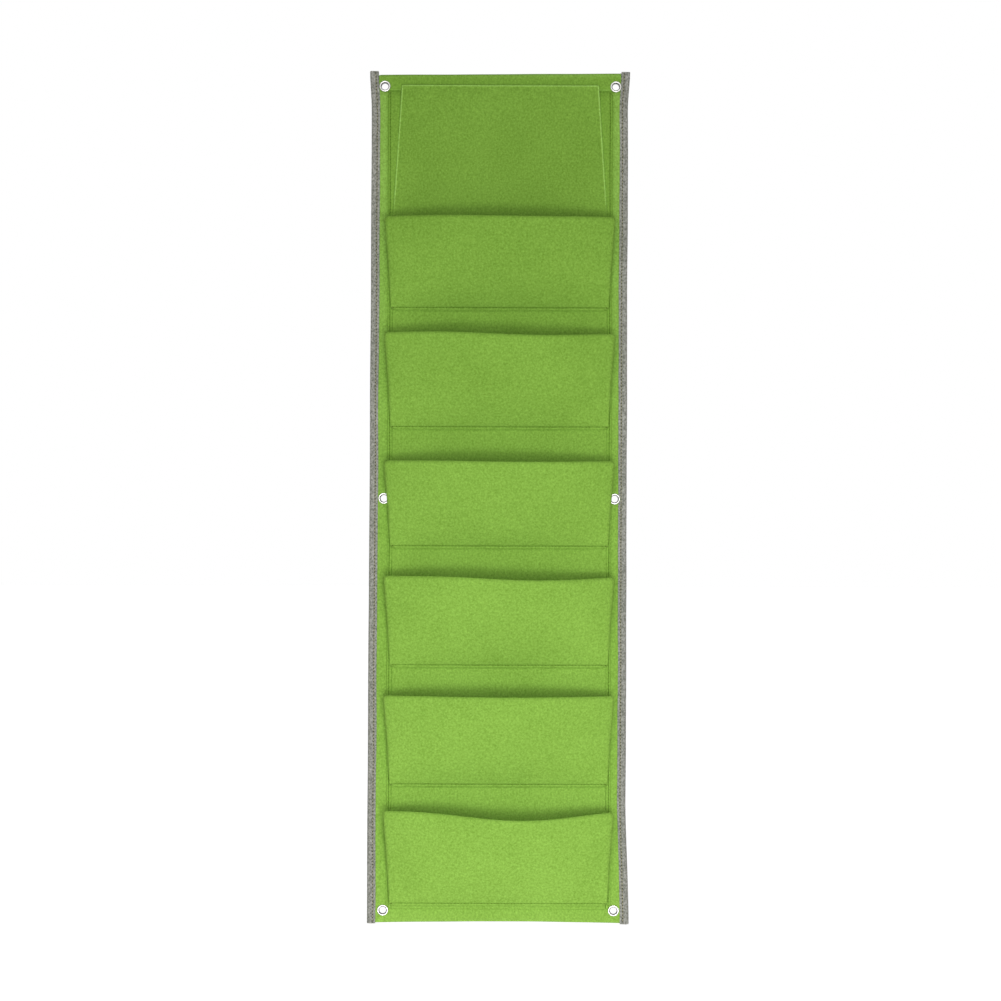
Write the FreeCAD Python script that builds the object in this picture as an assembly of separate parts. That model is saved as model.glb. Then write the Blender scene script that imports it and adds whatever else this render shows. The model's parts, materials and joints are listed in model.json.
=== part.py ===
"""Felt wall planter: a tall felt hanging with six gaping pockets, bound sides and six eyelets.

Millimetres. The origin lies midway between the two top eyelets, on the wall plane.
+X points to the viewer's right, +Y into the wall and +Z up, so the pockets face -Y.
"""

import FreeCAD
import Part
import math
import os

Vector = FreeCAD.Vector

# Backing felt
felt_thickness = 3.0
felt_height = 994.0
overall_width = 304.0
eyelet_row_drop = 15.0  # from the felt's top edge down to the top eyelets
hem_depth = 20.0  # top edge folded forward over itself
hem_gap = 0.3  # between the two leaves of the hem

# Bound sides
tape_thickness = 1.0
tape_leaf_width = 10.0
tape_overrun = 3.0  # tape ends past the felt's top and bottom edges

# Eyelets
eyelet_tape_gap = 0.2  # from the flange to the tape's inner edge
eyelet_foot_margin = 13.0  # from the felt's bottom edge up to the bottom row
eyelet_bore_radius = 4.0
eyelet_wall = 0.5
eyelet_flange_radius = 6.5
eyelet_flange_height = 1.4
eyelet_lip_width = 1.1  # barrel end rolled out over the washer
washer_thickness = 0.5
punch_clearance = 0.1  # felt hole around the barrel
flange_clearance = 0.4  # side strip around the flange

# Inner facing sheet behind the pockets
facing_top_rise = 0.6  # above the top eyelet row
facing_side_margin = 29.0  # from the planter's side edges in
facing_top_inset = 7.4  # how much further in the sheet's top corners lie
facing_jog_height = 6.0  # where the sheet steps down off the hem

# Sewn side strips that carry the gussets
strip_side_margin = 20.5  # from the planter's side edges in to the strips' outer edges
strip_thickness = 2.5
strip_gap = 0.5  # to the facing sheet and to the hem

# Pockets
pocket_count = 6
headroom = 168.5  # from the felt's top edge down to the top pocket's brim
brim_clearance = 32.5  # from a pocket's fold down to the next pocket's brim
lowest_fold_rise = 21.0  # from the felt's bottom edge up to the lowest pocket's fold
fold_side_margin = 25.5  # from the planter's side edges in to the ends of the fold
brim_flare = 7.5  # how much further out the brim's ends lie than the fold's
gape_centre = 55.0  # from the wall plane to the brim's outer face
gape_side = 33.0
foot_depth = 4.5  # sewn edge below the fold
gusset_thickness = 2.5
gusset_inset = 1.0  # gusset's outer face inside the pocket front's side edge
gusset_root_inset = 4.0  # gusset's outer face inside the strip's outer edge
gusset_bow = 5.0  # how far the gusset bends inwards at the brim
gusset_start = 0.06  # share of the pocket's height where the gusset has opened
running_gap = 0.3  # between the folding pocket front and what is sewn down

# Places that follow from the sizes above
felt_top = eyelet_row_drop
felt_bottom = felt_top - felt_height
back_y = -tape_thickness
front_y = back_y - felt_thickness
hem_back_y = front_y - hem_gap
hem_front_y = hem_back_y - felt_thickness
hem_bottom = felt_top - hem_depth
facing_front_y = front_y - felt_thickness
strip_front_y = front_y - strip_thickness
fold_radius = felt_thickness / 2
fold_axis_y = facing_front_y - running_gap - fold_radius
lowest_fold = felt_bottom + lowest_fold_rise
pocket_pitch = (felt_height - headroom - lowest_fold_rise + brim_clearance) / pocket_count
pocket_height = pocket_pitch - brim_clearance
fold_width = overall_width - 2 * fold_side_margin
brim_width = fold_width + 2 * brim_flare
strip_width = overall_width - 2 * strip_side_margin  # across the two strips' outer edges
facing_width = overall_width - 2 * facing_side_margin
facing_top_width = facing_width - 2 * facing_top_inset
eyelet_side_margin = tape_leaf_width + eyelet_tape_gap + eyelet_flange_radius
eyelet_spacing = overall_width - 2 * eyelet_side_margin  # between the left and right columns
eyelet_drop = felt_height - eyelet_row_drop - eyelet_foot_margin  # from the top row to the bottom row
barrel_radius = eyelet_bore_radius + eyelet_wall
felt_half_width = overall_width / 2 - tape_thickness - felt_thickness / 2
tape_inner_x = overall_width / 2 - tape_leaf_width


def fold_height(pocket):
    """Height of a pocket's fold line; pocket 1 is the top one."""
    return lowest_fold + (pocket_count - pocket) * pocket_pitch


def polyline_face(points):
    """Flat face inside a closed ring of straight edges."""
    return Part.Face(Part.makePolygon(points + points[:1]))


def arc(start, middle, end):
    return Part.Arc(start, middle, end).toShape()


def line(start, end):
    return Part.LineSegment(start, end).toShape()


def box_between(low, high):
    """Box from its lowest corner to its highest corner."""
    size = high - low
    return Part.makeBox(size.x, size.y, size.z, low)


def mirrored(shape):
    """The same piece on the other side of the planter."""
    return shape.mirror(Vector(0, 0, 0), Vector(1, 0, 0))


def eyelet_places():
    """Name, position on the wall plane and front felt face of every eyelet."""
    rows = (
        ("top", 0.0, hem_front_y),
        ("middle", -eyelet_drop / 2, front_y),
        ("bottom", -eyelet_drop, front_y),
    )
    columns = (("left", -eyelet_spacing / 2), ("right", eyelet_spacing / 2))
    for row, height, face_y in rows:
        for column, across in columns:
            yield f"{row}_{column}", Vector(across, 0, height), face_y


def eyelet_cylinders(radius, past_front):
    """Rods along Y on every eyelet's axis, for punching the felt."""
    reach = -hem_front_y + past_front
    rods = [
        Part.makeCylinder(radius, reach, place, Vector(0, -1, 0))
        for _, place, _ in eyelet_places()
    ]
    return Part.makeCompound(rods)


def back_panel():
    """Backing sheet, with its top edge folded forward into a hem."""
    middle_y = (back_y + hem_front_y) / 2
    outer = (back_y - hem_front_y) / 2
    inner = hem_gap / 2
    turn = felt_top - outer
    x = -felt_half_width

    def at(y, z):
        return Vector(x, y, z)

    edges = [
        line(at(back_y, felt_bottom), at(back_y, turn)),
        arc(at(back_y, turn), at(middle_y, felt_top), at(hem_front_y, turn)),
        line(at(hem_front_y, turn), at(hem_front_y, hem_bottom)),
        line(at(hem_front_y, hem_bottom), at(hem_back_y, hem_bottom)),
        line(at(hem_back_y, hem_bottom), at(hem_back_y, turn)),
        arc(at(hem_back_y, turn), at(middle_y, turn + inner), at(front_y, turn)),
        line(at(front_y, turn), at(front_y, felt_bottom)),
        line(at(front_y, felt_bottom), at(back_y, felt_bottom)),
    ]
    sheet = Part.Face(Part.Wire(edges)).extrude(Vector(2 * felt_half_width, 0, 0))
    # The hem's front leaf stops where the tape begins.
    beside_tape = box_between(
        Vector(tape_inner_x - running_gap, hem_front_y - felt_thickness, hem_bottom - felt_thickness),
        Vector(overall_width, front_y, felt_top + felt_thickness),
    )
    sheet = sheet.cut(beside_tape).cut(mirrored(beside_tape))
    return sheet.cut(eyelet_cylinders(barrel_radius + punch_clearance, felt_thickness))


def right_binding():
    """Tape folded round the felt's right edge."""
    tape_front_y = front_y - tape_thickness
    middle_y = tape_front_y / 2
    bend_x = felt_half_width
    low = felt_bottom - tape_overrun
    length = felt_height + 2 * tape_overrun

    def at(x, y):
        return Vector(x, y, low)

    edges = [
        line(at(tape_inner_x, 0), at(bend_x, 0)),
        arc(at(bend_x, 0), at(overall_width / 2, middle_y), at(bend_x, tape_front_y)),
        line(at(bend_x, tape_front_y), at(tape_inner_x, tape_front_y)),
        line(at(tape_inner_x, tape_front_y), at(tape_inner_x, front_y)),
        line(at(tape_inner_x, front_y), at(bend_x, front_y)),
        arc(at(bend_x, front_y), at(overall_width / 2 - tape_thickness, middle_y), at(bend_x, back_y)),
        line(at(bend_x, back_y), at(tape_inner_x, back_y)),
        line(at(tape_inner_x, back_y), at(tape_inner_x, 0)),
    ]
    return Part.Face(Part.Wire(edges)).extrude(Vector(0, 0, length))


def revolved_on_eyelet(edges, place):
    """Ring made by turning a section, drawn in radius and Y, round an eyelet's axis."""
    ring = Part.Face(Part.Wire(edges)).revolve(Vector(0, 0, 0), Vector(0, 1, 0), 360)
    ring.translate(place)
    return ring


def eyelet_barrel(place, face_y):
    """Barrel with a domed front flange and a back lip rolled over the washer."""
    rim_y = face_y - eyelet_flange_height
    crown_radius = (eyelet_bore_radius + eyelet_flange_radius) / 2
    shoulder_y = face_y - eyelet_flange_height / 2
    lip_radius = barrel_radius + eyelet_lip_width

    def at(radius, y):
        return Vector(radius, y, 0)

    edges = [
        line(at(eyelet_bore_radius, 0), at(eyelet_bore_radius, shoulder_y)),
        arc(
            at(eyelet_bore_radius, shoulder_y),
            at(crown_radius, rim_y),
            at(eyelet_flange_radius, shoulder_y),
        ),
        line(at(eyelet_flange_radius, shoulder_y), at(eyelet_flange_radius, face_y)),
        line(at(eyelet_flange_radius, face_y), at(barrel_radius, face_y)),
        line(at(barrel_radius, face_y), at(barrel_radius, -washer_thickness)),
        line(at(barrel_radius, -washer_thickness), at(lip_radius, -washer_thickness)),
        line(at(lip_radius, -washer_thickness), at(barrel_radius, 0)),
        line(at(barrel_radius, 0), at(eyelet_bore_radius, 0)),
    ]
    return revolved_on_eyelet(edges, place)


def eyelet_washer(place):
    """Flat ring between the felt's back and the barrel's lip."""
    ring = Part.makeCylinder(
        eyelet_flange_radius, -back_y - washer_thickness, place + Vector(0, back_y, 0), Vector(0, 1, 0)
    )
    hole = Part.makeCylinder(barrel_radius, -back_y, place + Vector(0, back_y, 0), Vector(0, 1, 0))
    return ring.cut(hole)


def facing_half_width(height):
    """The facing sheet widens from its top edge down to the first brim."""
    top = facing_top_rise
    full = fold_height(1) + pocket_height
    share = min(1.0, (top - height) / (top - full))
    return (facing_top_width + (facing_width - facing_top_width) * share) / 2


def facing_panel():
    """Inner sheet behind all the pockets, its top edge lapped over the hem."""
    low = lowest_fold - fold_radius - running_gap - foot_depth
    over_hem_y = hem_front_y
    step_top = hem_bottom - strip_gap
    step_low = step_top - facing_jog_height
    profile = [
        Vector(0, front_y, low),
        Vector(0, facing_front_y, low),
        Vector(0, facing_front_y, step_low),
        Vector(0, over_hem_y - felt_thickness, step_top),
        Vector(0, over_hem_y - felt_thickness, facing_top_rise),
        Vector(0, over_hem_y, facing_top_rise),
        Vector(0, over_hem_y, step_top),
        Vector(0, front_y, step_low),
    ]
    sheet = polyline_face(profile).extrude(Vector(facing_width, 0, 0))
    sheet.translate(Vector(-facing_width / 2, 0, 0))
    full = fold_height(1) + pocket_height
    right_edge = [(facing_half_width(z), z) for z in (facing_top_rise, full, low)]
    outline = [Vector(x, 0, z) for x, z in right_edge]
    outline += [Vector(-x, 0, z) for x, z in reversed(right_edge)]
    cutter = polyline_face(outline).extrude(Vector(0, over_hem_y - 2 * felt_thickness, 0))
    return sheet.common(cutter)


def right_strip():
    """Felt strip sewn down beside the facing sheet, from the hem to the lowest fold."""
    top = hem_bottom - strip_gap
    full = fold_height(1) + pocket_height
    low = lowest_fold - fold_radius - running_gap - foot_depth
    inner_edge = [Vector(facing_half_width(z) + strip_gap, front_y, z) for z in (top, full, low)]
    outer_edge = [Vector(strip_width / 2, front_y, z) for z in (low, top)]
    strip = polyline_face(inner_edge + outer_edge).extrude(Vector(0, -strip_thickness, 0))
    return strip.cut(eyelet_cylinders(eyelet_flange_radius + flange_clearance, felt_thickness))


def front_arc_radius():
    """Radius of the brim's outer face in plan, from its width and its bulge."""
    bulge = gape_centre - gape_side
    return ((brim_width / 2) ** 2 + bulge**2) / (2 * bulge)


def front_inner_y(x, share):
    """Inner face of a pocket front at a share of its height above the fold."""
    radius = front_arc_radius()
    at_brim = x * brim_width / (fold_width + (brim_width - fold_width) * share)
    brim_y = -gape_centre + radius - math.sqrt(radius**2 - at_brim**2) + front_thickness_across()
    fold_y = fold_axis_y + fold_radius
    return fold_y + (brim_y - fold_y) * share


def front_thickness_across():
    """Felt thickness of the leaning pocket front, measured along Y."""
    lean = math.atan2(gape_centre + fold_axis_y, pocket_height)
    return felt_thickness / math.cos(lean)


def pocket_front(pocket):
    """Front of a pocket: straight and rounded at its fold, bulging at its brim."""
    low = fold_height(pocket)
    high = low + pocket_height
    half_fold = fold_width / 2
    half_brim = brim_width / 2
    across = front_thickness_across()
    outer_y = fold_axis_y - fold_radius
    inner_y = fold_axis_y + fold_radius
    fold_ring = Part.makePolygon(
        [
            Vector(-half_fold, outer_y, low),
            Vector(half_fold, outer_y, low),
            Vector(half_fold, inner_y, low),
            Vector(-half_fold, inner_y, low),
            Vector(-half_fold, outer_y, low),
        ]
    )
    side_y = -gape_side
    crown_y = -gape_centre
    brim_ring = Part.Wire(
        [
            arc(Vector(-half_brim, side_y, high), Vector(0, crown_y, high), Vector(half_brim, side_y, high)),
            line(Vector(half_brim, side_y, high), Vector(half_brim, side_y + across, high)),
            arc(
                Vector(half_brim, side_y + across, high),
                Vector(0, crown_y + across, high),
                Vector(-half_brim, side_y + across, high),
            ),
            line(Vector(-half_brim, side_y + across, high), Vector(-half_brim, side_y, high)),
        ]
    )
    wall = Part.makeLoft([fold_ring, brim_ring], True, True)
    fold = Part.makeCylinder(
        fold_radius, fold_width, Vector(-half_fold, fold_axis_y, low), Vector(1, 0, 0)
    )
    return wall.fuse(fold).removeSplitter()


def pocket_foot(pocket):
    """Sewn edge of a pocket, flat on the facing sheet just below the fold."""
    top = fold_height(pocket) - fold_radius - running_gap
    return box_between(
        Vector(-fold_width / 2, facing_front_y - felt_thickness, top - foot_depth),
        Vector(fold_width / 2, facing_front_y, top),
    )


def gusset_ring(height, share):
    """Level section of a right gusset, from its strip to the pocket front."""
    root_x = strip_width / 2 - gusset_root_inset
    end_x = (fold_width + (brim_width - fold_width) * share) / 2 - gusset_inset
    bow = gusset_bow * share
    outer_root = Vector(root_x, strip_front_y, height)
    inner_root = Vector(root_x - gusset_thickness, strip_front_y, height)
    outer_end = Vector(end_x, front_inner_y(end_x, share) + running_gap, height)
    inner_x = end_x - gusset_thickness
    inner_end = Vector(inner_x, front_inner_y(inner_x, share) + running_gap, height)
    outer_middle = (outer_root + outer_end) / 2 - Vector(bow, 0, 0)
    inner_middle = (inner_root + inner_end) / 2 - Vector(bow, 0, 0)
    return Part.Wire(
        [
            arc(outer_root, outer_middle, outer_end),
            line(outer_end, inner_end),
            arc(inner_end, inner_middle, inner_root),
            line(inner_root, outer_root),
        ]
    )


def right_gusset(pocket):
    """Side wall of a pocket, narrow at the fold, wide and bowed inwards at the brim."""
    low = fold_height(pocket)
    rings = [
        gusset_ring(low + pocket_height * share, share) for share in (gusset_start, 1.0)
    ]
    return Part.makeLoft(rings, True, True)


def sub_parts():
    """Every piece of the planter by name."""
    yield "back_panel", back_panel()
    yield "facing_panel", facing_panel()
    yield "right_binding", right_binding()
    yield "left_binding", mirrored(right_binding())
    yield "right_strip", right_strip()
    yield "left_strip", mirrored(right_strip())
    for name, place, face_y in eyelet_places():
        yield f"eyelet_{name}", eyelet_barrel(place, face_y)
        yield f"washer_{name}", eyelet_washer(place)
    for pocket in range(1, pocket_count + 1):
        yield f"pocket_front_{pocket}", pocket_front(pocket)
        yield f"pocket_foot_{pocket}", pocket_foot(pocket)
        yield f"gusset_right_{pocket}", right_gusset(pocket)
        yield f"gusset_left_{pocket}", mirrored(right_gusset(pocket))


os.makedirs("parts", exist_ok=True)
for name, shape in sub_parts():
    shape.exportStep(f"parts/{name}.step")
    print(name, len(shape.Solids), shape.isValid(), round(shape.Volume / 1000, 2), "cm3")
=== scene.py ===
"""Felt wall planter dressed for looks: sewn felt, edge tape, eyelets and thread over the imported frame.

Metres, in the frame's own axes: the wall is the plane y = 0, the pockets face -Y and +Z is up.
"""

import json

import bpy
import numpy as np
from bpy.props import FloatProperty, FloatVectorProperty, IntProperty, PointerProperty
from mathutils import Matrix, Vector

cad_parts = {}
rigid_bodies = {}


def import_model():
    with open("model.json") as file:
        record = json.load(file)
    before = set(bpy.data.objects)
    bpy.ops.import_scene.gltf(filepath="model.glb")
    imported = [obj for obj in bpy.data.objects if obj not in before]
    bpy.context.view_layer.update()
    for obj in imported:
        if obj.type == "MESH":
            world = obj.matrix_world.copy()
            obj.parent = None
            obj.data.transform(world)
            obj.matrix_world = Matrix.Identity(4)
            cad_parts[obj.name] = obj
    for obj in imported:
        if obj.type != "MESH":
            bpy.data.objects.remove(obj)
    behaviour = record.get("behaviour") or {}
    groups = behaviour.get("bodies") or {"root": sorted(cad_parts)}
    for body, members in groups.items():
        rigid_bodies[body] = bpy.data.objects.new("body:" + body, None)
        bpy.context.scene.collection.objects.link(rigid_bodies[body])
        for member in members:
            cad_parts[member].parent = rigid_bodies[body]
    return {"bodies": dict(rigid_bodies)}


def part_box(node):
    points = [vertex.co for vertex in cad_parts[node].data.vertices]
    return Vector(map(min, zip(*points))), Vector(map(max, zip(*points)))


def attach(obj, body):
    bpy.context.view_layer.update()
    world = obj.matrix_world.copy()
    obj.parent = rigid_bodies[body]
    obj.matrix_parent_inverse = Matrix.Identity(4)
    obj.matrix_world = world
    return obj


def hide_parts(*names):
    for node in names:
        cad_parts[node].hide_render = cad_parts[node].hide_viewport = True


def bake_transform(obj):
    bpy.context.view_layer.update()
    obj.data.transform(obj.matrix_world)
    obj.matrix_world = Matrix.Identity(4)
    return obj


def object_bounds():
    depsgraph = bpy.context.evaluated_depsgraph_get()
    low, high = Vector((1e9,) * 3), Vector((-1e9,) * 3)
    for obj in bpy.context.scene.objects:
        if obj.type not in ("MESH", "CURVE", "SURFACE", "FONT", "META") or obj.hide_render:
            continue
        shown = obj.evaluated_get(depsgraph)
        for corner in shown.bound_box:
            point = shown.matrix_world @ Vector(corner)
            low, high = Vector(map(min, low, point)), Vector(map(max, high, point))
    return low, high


bl_info = {
    "name": "Felt Wall Planter",
    "version": (1, 0, 0),
    "blender": (4, 5, 0),
    "location": "3D View > Sidebar > Planter",
    "description": "Dresses the felt wall planter's frame with sewn felt, tape, eyelets and thread",
    "category": "Object",
}

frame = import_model()
cad_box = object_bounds()

MM = 0.001
SIDES = {"left": -1.0, "right": 1.0}
FRONT = np.array([0.0, -1.0, 0.0])
BACK = np.array([0.0, 1.0, 0.0])
WHITE = (1.0, 1.0, 1.0, 1.0)
EYELET_ROWS = ("top", "middle", "bottom")
POCKETS = sorted(int(name.split("_")[1]) for name in frame["bodies"] if name.startswith("pocket_"))

# How each pocket of the photographed planter hangs, top pocket first: how far its brim is lowered,
# how deep the brim sags, and how far right of the middle that is, as a share of half its width.
BRIM_DROP = (3.5 * MM, 0.0, 8.5 * MM, 4.5 * MM, 2.2 * MM, 0.9 * MM)
BRIM_SAG = (1.5 * MM, 4.0 * MM, 1.5 * MM, 4.5 * MM, 0.7 * MM, 9.0 * MM)
SAG_CENTRE = (0.2, 0.35, 0.2, 0.35, 0.2, 0.22)
# How far outwards each tape is sewn on, and how far its very ends spread: at the top and at the foot.
TAPE_LEAN = {"left": (-0.8 * MM, 1.8 * MM), "right": (-2.2 * MM, -2.6 * MM)}
TAPE_SPREAD = {"left": (1.8 * MM, 0.2 * MM), "right": (2.4 * MM, 3.8 * MM)}
# How much lower the backing's bottom edge hangs at its sides, and how far its top edge tilts.
BOTTOM_ARCH = 2.3 * MM
TOP_TILT = 1.45 * MM
# How far a side strip's inner edge lies under the facing's edge.
STRIP_LAP = 0.3 * MM
# How far the hem's ends stay off the tapes, and half the width of the felt's square hole at an eyelet.
HEM_GAP = 0.7 * MM
EYELET_HOLE = 4.9 * MM
# How far a row of stitches pulls felt inwards, and how much thinner it presses it.
SEAM_PULL = 0.7 * MM
SEAM_PRESS = 0.9 * MM
# The distance from a seam that marks cloth with no stitches near.
UNSEWN = 1.0
# Distances between the grid lines of a sheet: where it is plain, and at its edges.
COARSE = 5.0 * MM
FINE = 1.2 * MM
# Grid columns across a pocket's front.
FRONT_COLUMNS = 130
# Seeds of the slow drifts, one for each thing that is uneven.
DRIFT_SEEDS = {
    "bottom_edge": 11,
    "bottom_lift": 12,
    "top_edge": 13,
    "facing_face": 21,
    "strip_face": 31,
    "strip_line": 33,
    "pocket_front": 40,
    "pocket_foot": 60,
    "tape_inner_edge": 70,
    "tape_line": 74,
    "tape_end": 78,
    "pocket_gathers": 80,
}


def node_box(node):
    """Lowest and highest corner of a CAD node, as two rows of numbers."""
    return np.array([list(corner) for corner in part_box(node)])


def eyelet_place(row, side):
    """Axis of an eyelet, as its x and z."""
    low, high = node_box(f"eyelet_{row}_{side}")
    return (low[0] + high[0]) / 2, (low[2] + high[2]) / 2


def eyelet_heights(side):
    """Heights of the eyelets on a side, from the top down."""
    return np.array([eyelet_place(row, side)[1] for row in EYELET_ROWS])


def flange_reach(height, side, clear_radius):
    """How far a circle round the nearest eyelet reaches sideways at each height, and 0 beyond it."""
    square = clear_radius**2 - (height[..., None] - eyelet_heights(side)) ** 2
    return np.sqrt(np.maximum(square, 0.0)).max(axis=-1)


def smooth_step(value):
    """Rises from 0 to 1 as the value does, flat at both ends: 3t^2 - 2t^3."""
    t = np.clip(value, 0.0, 1.0)
    return t * t * (3.0 - 2.0 * t)


def bell(distance, width):
    """1 at no distance, less on both sides: e to the power of minus the square of distance / width."""
    return np.exp(-((distance / width) ** 2))


def fade(distance, reach):
    """1 at no distance, less and less after it: e to the power of minus distance / reach."""
    return np.exp(-distance / reach)


def unit(vectors):
    """The same directions at length 1."""
    return vectors / np.maximum(np.linalg.norm(vectors, axis=-1, keepdims=True), 1e-12)


def lines_through(stops, steps):
    """Grid lines that pass through every stop, with even lines about a step apart in between."""
    steps = np.broadcast_to(steps, len(stops) - 1)
    runs = [
        np.linspace(a, b, max(2, int(np.ceil(abs(b - a) / step)) + 1))[:-1]
        for a, b, step in zip(stops, stops[1:], steps)
    ]
    return np.append(np.concatenate(runs), stops[-1])


def drift(across, along, thing, number=0):
    """Slow uneven field of about -1 to 1: the mean of crossed sine waves with seeded directions.

    Each thing that is uneven has its own seed, and the number tells its pockets or sides apart.
    """
    source = np.random.default_rng(DRIFT_SEEDS[thing] + int(number))
    count = 6
    gain = 1.6
    lengths = np.linspace(50.0 * MM, 220.0 * MM, count)
    turns = source.uniform(0.0, 2.0 * np.pi, count)
    phases = source.uniform(0.0, 2.0 * np.pi, count)
    travel = across[..., None] * np.cos(turns) + along[..., None] * np.sin(turns)
    return gain * np.sin(2.0 * np.pi * travel / lengths + phases).mean(axis=-1)


def grid_normals(middle):
    """Unit normals of a grid surface: its column direction crossed with its row direction."""
    return unit(np.cross(np.gradient(middle, axis=1), np.gradient(middle, axis=0)))


def grid_quads(rows, columns):
    """Four corner numbers of every cell of a grid, turning from the columns to the rows."""
    index = np.arange(rows * columns).reshape(rows, columns)
    return np.stack([index[:-1, :-1], index[:-1, 1:], index[1:, 1:], index[1:, :-1]], axis=-1)


def on_side(side, x, y, z, *marks):
    """A right-hand strip's grid and marks on either side: mirrored, with its columns turned round."""
    columns = slice(None) if side == "right" else slice(None, None, -1)
    middle = np.stack([SIDES[side] * x, y, z], axis=-1)
    return [values[:, columns] for values in (middle, *marks)]


def felt_slab(
    middle, thickness, keep=None, edge_steps=4, seam=(0.0, UNSEWN), edge_wear_and_highlight=0.0, fold_wear_and_highlight=0.0
):
    """Closed sheet round a grid surface.

    Both faces lie half the thickness off the surface along its normals. Every free edge, at the
    border and round the cells that are not kept, is closed by a half circle of that radius.
    The sewing marks hold each point's distances along and across its seam, and how pale it is with
    wear and painted highlight, at the free edges and elsewhere.
    """
    rows, columns = middle.shape[:2]
    count = rows * columns
    quads = grid_quads(rows, columns)
    quads = quads[keep] if keep is not None else quads.reshape(-1, 4)
    centre = middle.reshape(count, 3)
    normal = grid_normals(middle).reshape(count, 3)
    half = np.broadcast_to(np.asarray(thickness) / 2.0, (rows, columns)).reshape(count, 1)

    starts = quads.ravel()
    ends = np.roll(quads, -1, axis=1).ravel()
    free = ~np.isin(starts * count + ends, ends * count + starts)
    starts = starts[free]
    ends = ends[free]
    direction = unit(centre[ends] - centre[starts])
    outward = np.zeros_like(centre)
    np.add.at(outward, starts, np.cross(direction, normal[starts]))
    np.add.at(outward, ends, np.cross(direction, normal[ends]))
    border = np.unique(starts)

    turns = np.linspace(0.0, np.pi, edge_steps + 2)[1:-1, None, None]
    round_edge = np.cos(turns) * normal[border] + np.sin(turns) * unit(outward[border])
    rings = (centre[border] + half[border] * round_edge).reshape(-1, 3)
    points = np.concatenate([centre + half * normal, centre - half * normal, rings])

    slot_of = np.zeros(count, int)
    slot_of[border] = np.arange(len(border))
    levels = [np.stack([starts, ends])]
    levels += [
        2 * count + step * len(border) + np.stack([slot_of[starts], slot_of[ends]])
        for step in range(edge_steps)
    ]
    levels.append(np.stack([starts, ends]) + count)
    rim = [
        np.stack([upper[1], upper[0], lower[0], lower[1]], axis=1)
        for upper, lower in zip(levels, levels[1:])
    ]
    faces = np.concatenate([quads, quads[:, ::-1] + count, *rim])
    # How pale each point is with wear and painted highlight, at the free edges and on the folds.
    wear_and_highlight = np.array(np.broadcast_to(fold_wear_and_highlight, (rows, columns)))
    wear_and_highlight.flat[border] = np.broadcast_to(edge_wear_and_highlight, (rows, columns)).flat[border]
    marks = np.stack([np.broadcast_to(mark, (rows, columns)) for mark in (*seam, wear_and_highlight)], axis=-1)
    marks = marks.reshape(count, 3)
    marks = np.concatenate([marks, marks, np.tile(marks[border], (edge_steps, 1))])
    used, renumbered = np.unique(faces, return_inverse=True)
    return points[used], renumbered.reshape(-1, 4), {"sewing": marks[used]}


def add_piece(name, points, faces, marks, material, slot):
    """Puts arrays of points, four-sided faces and marks of the points into a smooth mesh piece."""
    mesh = bpy.data.meshes.new(name)
    mesh.from_pydata(points, [], faces)
    mesh.polygons.foreach_set("use_smooth", np.ones(len(faces), bool))
    for mark, values in marks.items():
        layer = mesh.attributes.new(mark, "FLOAT_VECTOR", "POINT")
        layer.data.foreach_set("vector", np.asarray(values, np.float32).ravel())
    mesh.materials.append(material)
    mesh.update()
    piece = bpy.data.objects.new(name, mesh)
    bpy.context.scene.collection.objects.link(piece)
    return piece


def sewn_down(piece, *nodes):
    """A piece that keeps still on the backing and stands for some of its CAD nodes."""
    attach(piece, "backing")
    if nodes:
        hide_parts(*nodes)


def fill_inputs(tree, node, values):
    """Fills a node's inputs by name or number: a socket is linked, anything else is set."""
    for key, value in values.items():
        if isinstance(value, bpy.types.NodeSocket):
            tree.links.new(value, node.inputs[key])
        else:
            node.inputs[key].default_value = value


def place_node(tree, kind, values=(), **properties):
    """Adds a shader node, sets its properties and fills its inputs."""
    node = tree.nodes.new(kind)
    for key, value in properties.items():
        setattr(node, key, value)
    fill_inputs(tree, node, dict(values))
    return node


def math_node(tree, operation, *values):
    """Result of a Math node on plain numbers or sockets."""
    return place_node(tree, "ShaderNodeMath", dict(enumerate(values)), operation=operation).outputs[0]


def mixed_colour(tree, factor, first, second, blend="MIX"):
    """Colour between two colours, or their blend, by a factor."""
    values = {0: factor, 6: first, 7: second}
    node = place_node(tree, "ShaderNodeMix", values, data_type="RGBA", blend_type=blend)
    return node.outputs[2]


def mapped(tree, value, start, end, low=0.0, high=1.0, interpolation="LINEAR"):
    """A value carried from the range between start and end to the range between low and high."""
    values = {"Value": value, 1: start, 2: end, 3: low, 4: high}
    return place_node(tree, "ShaderNodeMapRange", values, interpolation_type=interpolation).outputs[0]


def noise(tree, vector, scale, detail, **values):
    """Noise of a scale and detail at a place, from 0 to 1."""
    values = {"Vector": vector, "Scale": scale, "Detail": detail, **values}
    return place_node(tree, "ShaderNodeTexNoise", values).outputs[0]


def bumped(tree, height, strength, depth):
    """Normal of a surface that a height raises and sinks."""
    values = {"Height": height, "Strength": strength, "Distance": depth}
    return place_node(tree, "ShaderNodeBump", values).outputs[0]


def point_marks(tree, name):
    """The three numbers that a piece's mesh holds for each point under a name."""
    marks = place_node(tree, "ShaderNodeAttribute", attribute_name=name).outputs["Vector"]
    return place_node(tree, "ShaderNodeSeparateXYZ", {0: marks}).outputs


def shade_of(colour, factor=1.0):
    """A colour times a factor, with full alpha."""
    return (*(factor * value for value in colour), 1.0)


def new_material(name):
    """Empty node material: the material, its tree, its Principled shader and the piece's own coordinates."""
    material = bpy.data.materials.new(name)
    material.use_nodes = True
    tree = material.node_tree
    vector = place_node(tree, "ShaderNodeTexCoord").outputs["Object"]
    return material, tree, tree.nodes["Principled BSDF"], vector


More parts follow.
